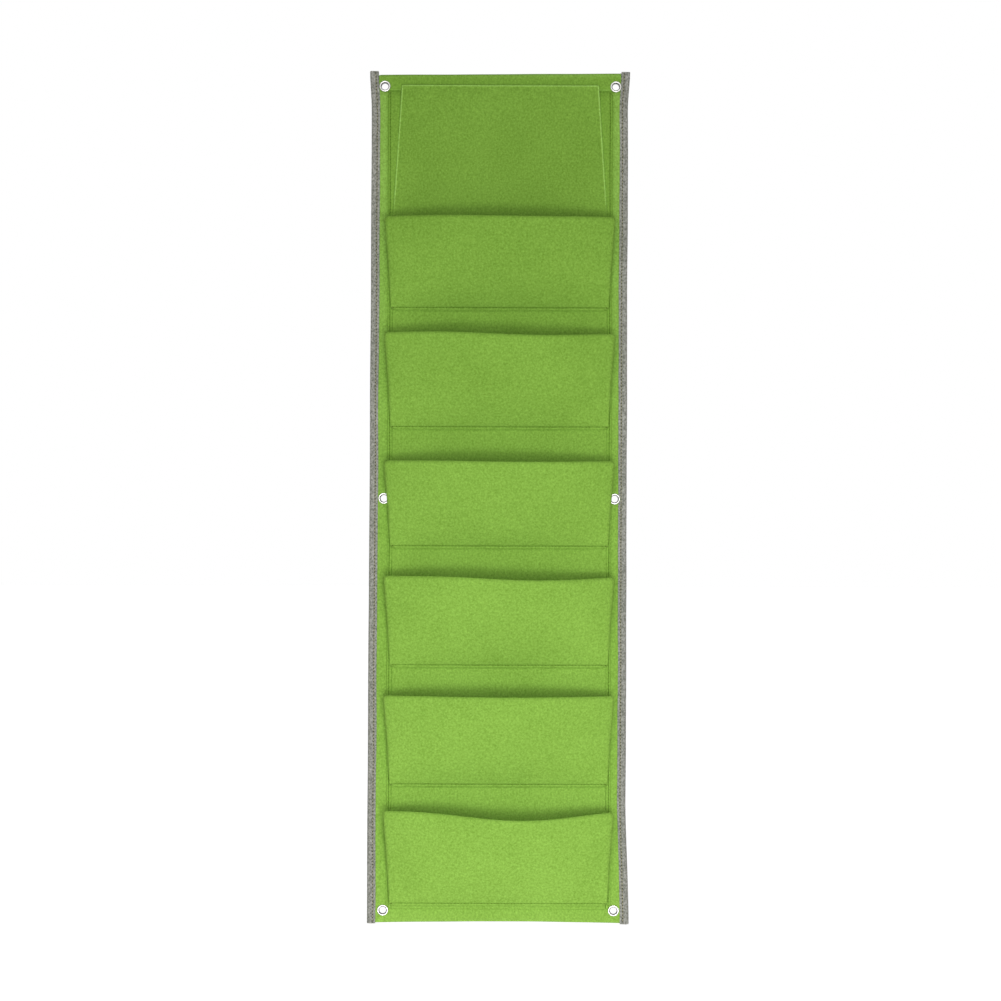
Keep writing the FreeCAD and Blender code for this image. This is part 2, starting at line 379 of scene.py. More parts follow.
def shader_group(name, inputs, outputs):
    """Empty node group with named sockets; returns the group and its two end nodes."""
    group = bpy.data.node_groups.new(name, "ShaderNodeTree")
    for socket, kind in inputs.items():
        group.interface.new_socket(socket, in_out="INPUT", socket_type=kind)
    for socket, kind in outputs.items():
        group.interface.new_socket(socket, in_out="OUTPUT", socket_type=kind)
    return group, group.nodes.new("NodeGroupInput"), group.nodes.new("NodeGroupOutput")


def fibre_group():
    """Needle-felt fibres: mottled clumps, crossed fine streaks and a slow drift of tone.

    Clumps are fractal noise about 3 mm across. Streaks are noise stretched along two slanted
    directions. The colour lies between a darker and a lighter shade of the base.
    """
    found = bpy.data.node_groups.get("felt_fibres")
    if found:
        return found
    group, given, result = shader_group(
        "felt_fibres",
        {"Base": "NodeSocketColor", "Vector": "NodeSocketVector", "Contrast": "NodeSocketFloat"},
        {"Colour": "NodeSocketColor", "Height": "NodeSocketFloat"},
    )
    base = given.outputs["Base"]
    vector = given.outputs["Vector"]
    mean_grain = 0.53
    tone_contrast = 0.25
    clumps = noise(group, vector, 430.0, 4.0, Roughness=0.62)
    streaks = []
    for turn in (0.6, -0.75):
        slant = {"Vector": vector, "Rotation": (0.3, turn, 0.2), "Scale": (1.0, 1.0, 0.16)}
        slanted = place_node(group, "ShaderNodeMapping", slant).outputs[0]
        streaks.append(noise(group, slanted, 1700.0, 2.0, Distortion=0.9))
    clump_part = math_node(group, "MULTIPLY", clumps, 0.6)
    streak_part = math_node(group, "MULTIPLY", math_node(group, "MAXIMUM", *streaks), 0.4)
    grain = math_node(group, "ADD", clump_part, streak_part)
    fine_shade = math_node(group, "SUBTRACT", grain, mean_grain)
    fine_shade = math_node(group, "MULTIPLY", fine_shade, given.outputs["Contrast"])
    slow_shade = math_node(group, "SUBTRACT", noise(group, vector, 14.0, 2.0), 0.5)
    slow_shade = math_node(group, "MULTIPLY", slow_shade, tone_contrast)
    shade = math_node(group, "ADD", math_node(group, "ADD", fine_shade, slow_shade), 0.5)
    darker = mixed_colour(group, 1.0, base, (0.52, 0.55, 0.5, 1.0), "MULTIPLY")
    tint = {"Saturation": 0.93, "Value": 1.45, "Color": base}
    lighter = place_node(group, "ShaderNodeHueSaturation", tint).outputs[0]
    fill_inputs(group, result, {"Colour": mixed_colour(group, shade, darker, lighter), "Height": grain})
    return group


def seam_group():
    """Row of needle holes along a seam, and the groove that the tight thread pulls into the cloth: masks of
    where the cloth gets painted shade.

    A hole is a round spot at every pitch along the seam, dark for two fifths of its radius and
    fading to its rim. The groove fades with the distance from the seam.
    """
    found = bpy.data.node_groups.get("sewn_seam")
    if found:
        return found
    group, given, result = shader_group(
        "sewn_seam",
        dict.fromkeys(("Along", "Across", "Pitch", "Hole", "Groove"), "NodeSocketFloat"),
        dict.fromkeys(("Holes", "Groove"), "NodeSocketFloat"),
    )
    radius = given.outputs["Hole"]
    half = math_node(group, "MULTIPLY", given.outputs["Pitch"], 0.5)
    step = math_node(group, "WRAP", given.outputs["Along"], half, math_node(group, "MULTIPLY", half, -1.0))
    across = math_node(group, "ABSOLUTE", given.outputs["Across"])
    squares = [math_node(group, "MULTIPLY", side, side) for side in (step, across)]
    distance = math_node(group, "SQRT", math_node(group, "ADD", *squares))
    dark = math_node(group, "MULTIPLY", radius, 0.4)
    holes = mapped(group, distance, dark, radius, 1.0, 0.0, "SMOOTHSTEP")
    groove = mapped(group, across, 0.0, given.outputs["Groove"], 1.0, 0.0, "SMOOTHSTEP")
    fill_inputs(group, result, {"Holes": holes, "Groove": groove})
    return group


def sewn_cloth(name, base, pit_shade, contrast, groove_shade, hole, height_shading, bump):
    """Felt or tape: fibres from the shared group, dark with painted shade and sunk at the stitches,
    pale with wear and painted highlight.

    The sewing marks of the piece say where its stitches are and how pale its edges and folds are
    with wear and painted highlight. That pale cloth is the fibres' colour made lighter, with a little
    white. The pit shade is the colour painted as shade down a needle hole and along the seam's
    groove. The height shading is a slow change of tone along the planter, given at its foot and at
    its top: painted shade that darkens the felt towards its top, and a tape paler towards its top.
    """
    groove = 1.3 * MM
    hole_shade = 0.92
    sink = 1.4
    wear_and_highlight_gain = 1.4
    wear_and_highlight_white = 0.03
    pitch = bpy.context.scene.planter_trim.stitch_pitch
    material, tree, shader, vector = new_material(name)
    cloth = {"Base": shade_of(base), "Vector": vector, "Contrast": contrast}
    fibres = place_node(tree, "ShaderNodeGroup", cloth, node_tree=fibre_group()).outputs
    along, across, wear_and_highlight = point_marks(tree, "sewing")
    sewing = {"Along": along, "Across": across, "Pitch": pitch, "Hole": hole, "Groove": groove}
    seam = place_node(tree, "ShaderNodeGroup", sewing, node_tree=seam_group()).outputs

    # Colour that changes with height: painted shade darkens the felt towards its top, and the tape turns
    # paler towards its top.
    level = place_node(tree, "ShaderNodeSeparateXYZ", {0: vector}).outputs[2]
    risen = mapped(tree, level, cad_box[0][2], cad_box[1][2])
    tone = mixed_colour(tree, risen, *(shade_of(tint) for tint in height_shading))
    height_shaded = mixed_colour(tree, 1.0, fibres["Colour"], tone, "MULTIPLY")
    # Pale colour of wear and painted highlight.
    paler = (*(wear_and_highlight_gain + wear_and_highlight_white / value for value in base), 1.0)
    pale = mixed_colour(tree, 1.0, fibres["Colour"], paler, "MULTIPLY")
    colour = mixed_colour(tree, wear_and_highlight, height_shaded, pale)
    # Painted shade in the seam's groove and its needle holes.
    shade = math_node(tree, "MULTIPLY", seam["Groove"], groove_shade)
    shade = math_node(tree, "MAXIMUM", shade, math_node(tree, "MULTIPLY", seam["Holes"], hole_shade))
    height = math_node(tree, "SUBTRACT", fibres["Height"], math_node(tree, "MULTIPLY", shade, sink))
    finish = {
        "Base Color": mixed_colour(tree, shade, colour, shade_of(pit_shade)),
        "Normal": bumped(tree, height, bump, 0.5 * MM),
        "Roughness": 0.95,
        "Specular IOR Level": 0.0,
        "Sheen Weight": 0.06,
        "Sheen Roughness": 0.5,
        "Sheen Tint": (*(min(1.0, 1.6 * value) for value in base), 1.0),
    }
    fill_inputs(tree, shader, finish)
    return material


def thread_material(name, base):
    """Sewing thread: its ply shows as fine slanted bands of painted light and shade, also raised as bumps."""
    material, tree, shader, vector = new_material(name)
    turned = place_node(tree, "ShaderNodeMapping", {"Vector": vector, "Rotation": (0.0, 0.7, 0.0)}).outputs[0]
    bands = {"Vector": turned, "Scale": 520.0, "Distortion": 1.5, "Detail": 1.0}
    # Painted light and shade of the ply's twists.
    ply = place_node(tree, "ShaderNodeTexWave", bands).outputs[1]
    finish = {
        "Base Color": mixed_colour(tree, ply, shade_of(base, 0.6), shade_of(base, 1.25)),
        "Normal": bumped(tree, ply, 0.3, 0.1 * MM),
        "Roughness": 0.7,
        "Specular IOR Level": 0.12,
    }
    fill_inputs(tree, shader, finish)
    return material


def nickel_material(base):
    """Nickel plate on pressed brass: bright, with dull spots and fine scratches, darker and rougher down its
    throat.

    The throat mark of the ring is 1 down its bore and under its flange.
    """
    material, tree, shader, vector = new_material("nickel_plate")
    spots = noise(tree, vector, 700.0, 4.0)
    scratches = noise(tree, vector, 3200.0, 2.0, Distortion=2.0)
    throat = point_marks(tree, "throat")[0]
    plate = mixed_colour(tree, spots, shade_of(base, 0.75), shade_of(base))
    throat_rough = math_node(tree, "MULTIPLY", throat, 0.25)
    finish = {
        "Base Color": mixed_colour(tree, throat, plate, shade_of(base, 0.22)),
        "Roughness": math_node(tree, "ADD", mapped(tree, spots, 0.0, 1.0, 0.16, 0.36), throat_rough),
        "Normal": bumped(tree, scratches, 0.12, 0.05 * MM),
        "Metallic": 1.0,
    }
    fill_inputs(tree, shader, finish)
    return material


class PlanterFelt(bpy.types.PropertyGroup):
    """Sizes and colour of the felt sheets."""

    thickness: FloatProperty(
        name="Thickness", description="Thickness of the felt", default=3.0 * MM, unit="LENGTH"
    )
    hem_depth: FloatProperty(
        name="Hem depth", description="From the top edge down to the hem's edge", default=20.0 * MM,
        unit="LENGTH",
    )
    belly: FloatProperty(
        name="Belly", description="How far a pocket's front swells", default=4.0 * MM, unit="LENGTH"
    )
    side_gape: FloatProperty(
        name="Side gape", description="Depth of a pocket's mouth at its sides", default=33.0 * MM,
        unit="LENGTH",
    )
    gusset_bow: FloatProperty(
        name="Gusset bow", description="How far a gusset bends inwards", default=6.0 * MM, unit="LENGTH"
    )
    gusset_dip: FloatProperty(
        name="Gusset dip", description="How far a gusset's top edge dips", default=5.0 * MM, unit="LENGTH"
    )
    corner: FloatProperty(
        name="Corner", description="Radius where a front turns into its gusset", default=5.0 * MM,
        unit="LENGTH",
    )
    fold_corner: FloatProperty(
        name="Fold corner", description="Rounding of a front's lower corners", default=3.5 * MM, unit="LENGTH"
    )
    foot_depth: FloatProperty(
        name="Foot depth", description="From a pocket's fold down to its raw edge", default=3.2 * MM,
        unit="LENGTH",
    )
    raw_edge: FloatProperty(
        name="Raw edge", description="Thickness of a pocket's pressed raw edge", default=1.3 * MM,
        unit="LENGTH",
    )
    brim_roll: FloatProperty(
        name="Brim roll", description="Radius that the brim turns in by", default=3.2 * MM, unit="LENGTH"
    )
    unevenness: FloatProperty(
        name="Unevenness", description="How far the soft felt strays from its plain shape", default=0.8 * MM,
        unit="LENGTH",
    )
    pucker: FloatProperty(
        name="Pucker", description="Depth of the small gathers above a sewn foot", default=0.3 * MM,
        unit="LENGTH",
    )
    facing_top: FloatProperty(
        name="Facing top", description="Half the facing's width along its top edge", default=115.6 * MM,
        unit="LENGTH",
    )
    facing_side: FloatProperty(
        name="Facing side", description="Half the facing's width below the first brim", default=126.0 * MM,
        unit="LENGTH",
    )
    green: FloatVectorProperty(
        name="Green", description="Colour of the felt", default=(0.256, 0.479, 0.05), subtype="COLOR", size=3
    )


class PlanterTrim(bpy.types.PropertyGroup):
    """Sizes and colours of the tape, thread and eyelets."""

    tape_thickness: FloatProperty(
        name="Tape thickness", description="Thickness of the edge tape", default=1.0 * MM, unit="LENGTH"
    )
    tape_seam: FloatProperty(
        name="Tape seam", description="From the tape's inner edge to its stitches", default=3.4 * MM,
        unit="LENGTH",
    )
    stitch_pitch: FloatProperty(
        name="Stitch pitch", description="From one stitch to the next", default=3.9 * MM, unit="LENGTH"
    )
    thread_radius: FloatProperty(
        name="Thread radius", description="Half the thread's thickness", default=0.4 * MM, unit="LENGTH"
    )
    strip_seam: FloatProperty(
        name="Strip seam", description="From a side strip's outer edge to its stitches", default=2.6 * MM,
        unit="LENGTH",
    )
    foot_seam: FloatProperty(
        name="Foot seam", description="From a pocket's fold up to its stitches", default=1.5 * MM,
        unit="LENGTH",
    )
    ring_steps: IntProperty(
        name="Ring steps", description="Steps round an eyelet", default=56, min=12
    )
    grey: FloatVectorProperty(
        name="Tape grey", description="Colour of the edge tape", default=(0.305, 0.296, 0.27),
        subtype="COLOR", size=3,
    )
    khaki: FloatVectorProperty(
        name="Tape thread", description="Colour of the thread on the tape", default=(0.45, 0.43, 0.26),
        subtype="COLOR", size=3,
    )
    dark_green: FloatVectorProperty(
        name="Felt thread", description="Colour of the thread on the felt", default=(0.175, 0.37, 0.03),
        subtype="COLOR", size=3,
    )
    nickel: FloatVectorProperty(
        name="Nickel", description="Colour of the eyelets", default=(0.72, 0.71, 0.69),
        subtype="COLOR", size=3,
    )


class PlanterStage(bpy.types.PropertyGroup):
    """Camera, lamps and floor."""

    distance: FloatProperty(
        name="Camera distance", description="From the camera to the wall", default=3.0, unit="LENGTH"
    )
    view_width: FloatProperty(
        name="View width", description="Width of the picture at the wall", default=1.176, unit="LENGTH"
    )
    eye_level: FloatProperty(
        name="Eye level", description="Height of the camera", default=-0.4851, unit="LENGTH"
    )
    aside: FloatProperty(
        name="Aside", description="How far right of the middle the camera stands", default=1.5 * MM,
        unit="LENGTH",
    )
    roll: FloatProperty(
        name="Roll", description="Turn of the camera about its view", default=np.radians(-0.174),
        unit="ROTATION",
    )
    key_power: FloatProperty(
        name="Key lamp", description="Power of the broad lamp in front", default=19.4, unit="POWER"
    )
    low_power: FloatProperty(
        name="Low lamp", description="Power of the low spot lamp in front", default=148.0, unit="POWER"
    )
    back_power: FloatProperty(
        name="Back lamp", description="Power of the lamp behind", default=16.0, unit="POWER"
    )
    surround: FloatProperty(
        name="Surround", description="Strength of the even light from all sides", default=0.3
    )
    floor_drop: FloatProperty(
        name="Floor drop", description="From the planter's foot down to the floor", default=0.62,
        unit="LENGTH",
    )
    floor_white: FloatVectorProperty(
        name="Floor", description="Colour of the floor", default=(0.86, 0.86, 0.85), subtype="COLOR", size=3
    )


def felt_material():
    """The planter's green felt, made once for all its sheets."""
    found = bpy.data.materials.get("green_felt")
    if found:
        return found
    return sewn_cloth(
        "green_felt",
        tuple(bpy.context.scene.planter_felt.green),
        pit_shade=(0.044, 0.084, 0.006),
        contrast=1.9,
        groove_shade=0.4,
        hole=0.85 * MM,
        # Painted shade: the felt is darker towards its top.
        height_shading=((1.05, 1.05, 1.1), (0.9, 0.94, 0.86)),
        bump=0.45,
    )


def tape_material():
    """The grey edge tape, more mottled than the felt and paler towards its top."""
    return sewn_cloth(
        "grey_tape",
        tuple(bpy.context.scene.planter_trim.grey),
        pit_shade=(0.056, 0.05, 0.022),
        contrast=5.0,
        groove_shade=0.35,
        hole=1.1 * MM,
        height_shading=((0.96, 0.98, 0.98), (1.26, 1.28, 1.28)),
        bump=0.5,
    )


def strip_seam_x():
    """Distance of the side strips' stitches from the planter's middle."""
    return node_box("right_strip")[1][0] - bpy.context.scene.planter_trim.strip_seam


def tape_seam_x():
    """Distance of the tapes' stitches from the planter's middle."""
    return node_box("right_binding")[0][0] + bpy.context.scene.planter_trim.tape_seam


def tape_bend_x():
    """Distance from the planter's middle to where the tapes' flat flaps turn into their bend."""
    low, high = node_box("right_binding")
    return high[0] - (high[1] - low[1]) / 2.0


def hem_end_x():
    """Distance of the hem's ends from the planter's middle."""
    return node_box("right_binding")[0][0] - HEM_GAP


def first_brim_z():
    """Height of the top pocket's brim, where the facing's slanted sides end."""
    return node_box(f"pocket_front_{POCKETS[0]}")[1][2]


def fold_place(number):
    """Height and depth of a pocket's fold line."""
    felt = bpy.context.scene.planter_felt
    low, high = node_box(f"pocket_front_{number}")
    return low[2] + felt.thickness / 2.0, high[1] - felt.thickness / 2.0


def foot_seam_z(number):
    """Height of the stitches along a pocket's foot."""
    return fold_place(number)[0] + bpy.context.scene.planter_trim.foot_seam


def front_height(number):
    """From a pocket's fold up to where its brim begins to roll in."""
    felt = bpy.context.scene.planter_felt
    top = node_box(f"pocket_front_{number}")[1][2]
    return top - fold_place(number)[0] - felt.brim_roll - BRIM_DROP[number - 1]


def strip_sway(side, height):
    """How far a side strip and its stitches stray from a straight line, along their height."""
    wander = 0.35 * MM
    return wander * drift(0.0 * height, height, "strip_line", SIDES[side])


def tape_sway(side, height, inner):
    """How far a tape and its stitches stray outwards, for a share from its bend to its inner edge.

    The tape leans from its top to its foot and wanders slowly, its inner edge a little more. Its
    ends spread outwards, the inner edge a little less.
    """
    wander = 0.3 * MM
    top_length = 45.0 * MM
    foot_length = 150.0 * MM
    held_back = 0.15
    low, high = node_box("right_binding")[:, 2]
    flat = 0.0 * height
    upper, lower = TAPE_LEAN[side]
    lean = upper + (lower - upper) * smooth_step((high - height) / (high - low))
    slow = wander * drift(flat, height / 2.0, "tape_line", SIDES[side])
    slow = slow + inner * wander * drift(flat, height, "tape_inner_edge", SIDES[side])
    top, foot = TAPE_SPREAD[side]
    spread = top * smooth_step((height - high) / top_length + 1.0)
    spread = spread + foot * smooth_step((low - height) / foot_length + 1.0)
    return lean + slow + spread * (1.0 - held_back * inner)


def facing_half_width(height):
    """The facing sheet widens evenly from its top edge to the first brim, and then keeps its width."""
    felt = bpy.context.scene.planter_felt
    top = node_box("facing_panel")[1][2]
    share = np.clip((top - height) / (top - first_brim_z()), 0.0, 1.0)
    return felt.facing_top + (felt.facing_side - felt.facing_top) * share


def backing_lines():
    """Grid lines of the backing felt, which runs straight up, round a half turn and down as the hem.

    They pass the edges of the eyelets' holes and of a collar round each. The result is the x of the
    columns, the height of the rows, and the angle that the felt has turned by at each row.
    """
    felt = bpy.context.scene.planter_felt
    low, high = node_box("back_panel")
    half = felt.thickness / 2.0
    collar = 6.7 * MM
    turn_steps = 10
    radius = (high[1] - low[1]) / 2.0 - half
    bottom = low[2] + half
    turn_z = high[2] - half - radius
    hem_foot = high[2] - felt.hem_depth + half
    eyelet_x = eyelet_place("top", "right")[0]
    eyelet_z = eyelet_heights("right")
    hole_x = [eyelet_x - collar, eyelet_x - EYELET_HOLE, eyelet_x + EYELET_HOLE]
    across = [*hole_x, hem_end_x(), high[0] - half]
    columns = lines_through([-x for x in across[::-1]] + across, COARSE)
    edges = (-collar, -EYELET_HOLE, EYELET_HOLE, collar)
    rings = [z + edge for z in eyelet_z[::-1] for edge in edges]
    back_z = np.insert(lines_through([bottom, *rings, turn_z], COARSE), 1, bottom + FINE)
    turns = np.linspace(0.0, np.pi, turn_steps)[1:-1]
    hem_stops = [turn_z, eyelet_z[0] + collar, eyelet_z[0] + EYELET_HOLE, hem_foot]
    hem_z = lines_through(hem_stops, FINE)
    heights = np.concatenate([back_z, turn_z + radius * np.sin(turns), hem_z])
    turned = np.concatenate([0.0 * back_z, turns, 0.0 * hem_z + np.pi])
    return columns, heights, turned


def hung_backing(x, y, z, on_hem):
    """The backing's grid as it hangs from its eyelets.

    Its bottom edge is arched and stands a little off the wall between them, and its top edge is
    tilted. Its sides go with the tapes: with their bends, or on the hem with their inner edges.
    """
    low, high = node_box("back_panel")[:, 2]
    bottom_lift = 0.84 * MM
    lift_stray = 0.56 * MM
    lift_height = 35.0 * MM
    bottom_stray = 0.2 * MM
    arch_height = 4.0 * MM
    top_stray = 0.25 * MM
    tilt_height = 5.0 * MM
    before_tape = 1.0 * MM
    tape_reach = 8.0 * MM
    eyelet_x = eyelet_place("top", "right")[0]
    hole_x = eyelet_x + EYELET_HOLE
    hem_x = hem_end_x()
    aside = x / eyelet_x
    between = 1.0 - np.clip(np.abs(aside), 0.0, 1.0) ** 4
    lift = bottom_lift + lift_stray * drift(x, z, "bottom_lift")
    y = y - fade(z - low, lift_height) * between * lift
    lower = BOTTOM_ARCH * aside**2 + bottom_stray * drift(x, 0.0 * z, "bottom_edge")
    z = z - fade(z - low, arch_height) * lower
    higher = TOP_TILT * aside + top_stray * drift(x, 0.0 * z, "top_edge")
    z = z + fade(high - z, tilt_height) * higher
    in_tape = smooth_step((np.abs(x) - hem_x + before_tape) / tape_reach)
    beside_tape = smooth_step((np.abs(x) - hole_x) / (hem_x - hole_x))
    for side, sign in SIDES.items():
        at_bend = in_tape * tape_sway(side, z, 0.0)
        at_hem = beside_tape * np.maximum(tape_sway(side, z, 1.0), -HEM_GAP)
        x = np.where(sign * x > 0.0, x + sign * np.where(on_hem, at_hem, at_bend), x)
    return x, y, z


def backing_sheet():
    """Backing felt with its hem, whose path in y and z is carried across the planter.

    Cells at the eyelets are left out, and the felt is pressed thin round them, where the hem meets
    the tapes and along the hem's lower edge. The top fold is pale with rubbing and painted highlight,
    the margins beside the strips are paler with painted light the higher they are, and the edges are
    pale with wear and painted highlight, most on the hem.
    """
    felt = bpy.context.scene.planter_felt
    low, high = node_box("back_panel")
    strip_low, strip_high = node_box("right_strip")
    thin_at_eyelet = 1.5 * MM
    thinnest = 0.8 * MM
    hem_press = 1.5 * MM
    press_length = 4.0 * MM
    rub_and_highlight = 0.5
    rub_and_highlight_width = 3.0 * MM
    margin_light_depth = 600.0 * MM
    back_wear_and_highlight = 0.12
    hem_wear_and_highlight = 0.35
    hair = 0.1 * MM
    eyelet_x = eyelet_place("top", "right")[0]
    eyelet_z = eyelet_heights("right")
    hem_x = hem_end_x()
    columns, heights, turned = backing_lines()
    turned = turned[:, None]
    on_hem = turned > 0.0

    x, z = np.meshgrid(columns, heights)
    at_eyelet = np.abs(np.abs(x) - eyelet_x) < EYELET_HOLE + hair
    at_eyelet &= np.any(np.abs(z[..., None] - eyelet_z) < EYELET_HOLE + hair, axis=-1)
    hem_side = on_hem & (np.abs(x) > hem_x - hair)
    thickness = np.where(hem_side, thinnest, np.where(at_eyelet, thin_at_eyelet, felt.thickness))
    level = np.where(hem_side, (felt.thickness - thinnest) / 2.0, 0.0)
    z = z + level * np.sin(turned)
    pressed = hem_press * (on_hem & (np.cos(turned) < 0.0) & ~hem_side)
    pressed = pressed * (1.0 - smooth_step((z - heights[-1]) / press_length))
    thickness = np.maximum(thickness - pressed, thinnest)
    off_middle = (high[1] - low[1] - felt.thickness) / 2.0 + level
    y = (low[1] + high[1]) / 2.0 + off_middle * np.cos(turned) + pressed / 2.0
    sewn = ~on_hem & (z > strip_low[2]) & (z < strip_high[2])
    seam = (z, np.where(sewn, np.abs(x) - strip_seam_x(), UNSEWN))

    x, y, z = hung_backing(x, y, z, on_hem)
    # Painted light: the margins beside the strips are paler the higher they are; the top fold is pale with
    # rubbing and painted highlight.
    margin = ~on_hem * smooth_step((np.abs(x) - strip_high[0]) / rub_and_highlight_width)
    rubbed_and_lit = rub_and_highlight * (bell(high[2] - z, rub_and_highlight_width) + margin * smooth_step(1.0 + z / margin_light_depth))
    # Edges pale with wear and painted highlight, most on the hem.
    edge_wear_and_highlight = np.where(on_hem, hem_wear_and_highlight, back_wear_and_highlight)
    cell_x = np.abs(columns[1:] + columns[:-1]) / 2.0
    cell_z = (heights[1:] + heights[:-1]) / 2.0
    in_column = np.abs(cell_x - eyelet_x) < EYELET_HOLE
    in_row = np.any(np.abs(cell_z[:, None] - eyelet_z) < EYELET_HOLE, axis=1)
    keep = ~(in_row[:, None] & in_column) & ~(on_hem[1:] & (cell_x > hem_x))
    middle = np.stack([x, y, z], axis=-1)
    return felt_slab(middle, thickness, keep, seam=seam, edge_wear_and_highlight=edge_wear_and_highlight, fold_wear_and_highlight=rubbed_and_lit)


def facing_sheet():
    """Facing felt: a flat sheet whose top laps over the hem with a soft step, its open edge raised.

    Its columns are shares of its width, close together at the sides. A row and two columns lie
    just inside the open edge, which is pale with wear and painted highlight.
    """
    felt = bpy.context.scene.planter_felt
    low, high = node_box("facing_panel")
    half = felt.thickness / 2.0
    flat_y = high[1] - half
    lapped_y = low[1] + half
    top_rise = 0.9 * MM
    top = high[2] - half + top_rise
    lap_foot = -45.0 * MM
    lap_length = 36.0 * MM
    open_length = 30.0 * MM
    rim_line = 0.4 * MM
    rim_lift = 0.9 * MM
    rim_width = 2.2 * MM
    stray = 0.3 * felt.unevenness
    side_share = 0.96
    flat_rows = 200
    lap_rows = 40
    inner_columns = 62
    side_columns = 6
    flat_z = np.linspace(low[2] + half, lap_foot, flat_rows)[:-1]
    lap_z = np.insert(np.linspace(lap_foot, top, lap_rows), -1, top - rim_line)
    inner = np.linspace(-side_share, side_share, inner_columns)
    margin = np.linspace(side_share, 1.0, side_columns)[1:]
    margin = np.insert(margin, -1, 1.0 - rim_line / felt.facing_top)
    share, z = np.meshgrid(np.concatenate([-margin[::-1], inner, margin]), np.append(flat_z, lap_z))
    edge = facing_half_width(z) - half
    x = share * edge
    lap = smooth_step((z - node_box("right_strip")[1][2]) / lap_length + 1.0)
    open_part = smooth_step((z - first_brim_z()) / open_length)
    rim = np.minimum(edge - np.abs(x), top - z)
    y = flat_y + (lapped_y - flat_y) * lap - rim_lift * open_part * bell(rim, rim_width)
    y = y - stray * (1.0 + drift(x, z, "facing_face")) * (1.0 - lap)
    # The open edge is pale with wear and painted highlight.
    return felt_slab(np.stack([x, y, z], axis=-1), felt.thickness, edge_wear_and_highlight=open_part)


def side_strip(side):
    """Felt strip beside the facing sheet, scooped round the eyelets and dented by its stitches.

    Its inner edge follows the facing. Its outer edge is straight, or the flange's circle with a
    clearance where that reaches further in. Its upper end is pressed thin.
    """
    low, high = node_box("right_strip")
    thickness = high[1] - low[1]
    half = thickness / 2.0
    near = 10.0 * MM
    scoop = 6.9 * MM
    scoop_step = 0.7 * MM
    dent_width = 1.1 * MM
    dent_pull = 0.35 * MM
    dent_press = 0.5 * MM
    end_press = 1.3 * MM
    press_length = 4.0 * MM
    stray = 0.25 * MM
    columns = 15
    eyelet_x = eyelet_place("top", "right")[0]
    top, middle, bottom = eyelet_heights(side)
    upper_end = high[2] - half
    stops = [low[2] + half, bottom + near, middle - near, middle + near, top - near, upper_end]
    heights = lines_through(stops, [scoop_step, COARSE, scoop_step, COARSE, scoop_step])
    share, z = np.meshgrid(np.linspace(0.0, 1.0, columns), heights)
    reach = flange_reach(z, side, scoop)
    outer = np.where(reach > 0.0, np.minimum(high[0], eyelet_x - reach), high[0]) - half
    inner = facing_half_width(z) - STRIP_LAP + half
    x = inner + (outer - inner) * share
    across = x - strip_seam_x()
    dent = bell(across, dent_width)
    pressed = end_press * (1.0 - smooth_step((upper_end - z) / press_length))
    y = (low[1] + high[1]) / 2.0 + dent_pull * dent + pressed / 2.0
    y = y - stray * (1.0 + drift(x, z, "strip_face", SIDES[side]))
    x = x + strip_sway(side, z)
    thickness = thickness - dent_press * dent - pressed
    grid, thickness, *seam = on_side(side, x, y, z, thickness, z, across)
    return felt_slab(grid, thickness, seam=seam)


def bezier(first, control, last, share):
    """Quadratic curve from first to last, drawn towards a control point, row by row."""
    t = share[None, :, None]
    return (1 - t) ** 2 * first[:, None] + 2 * t * (1 - t) * control[:, None] + t**2 * last[:, None]


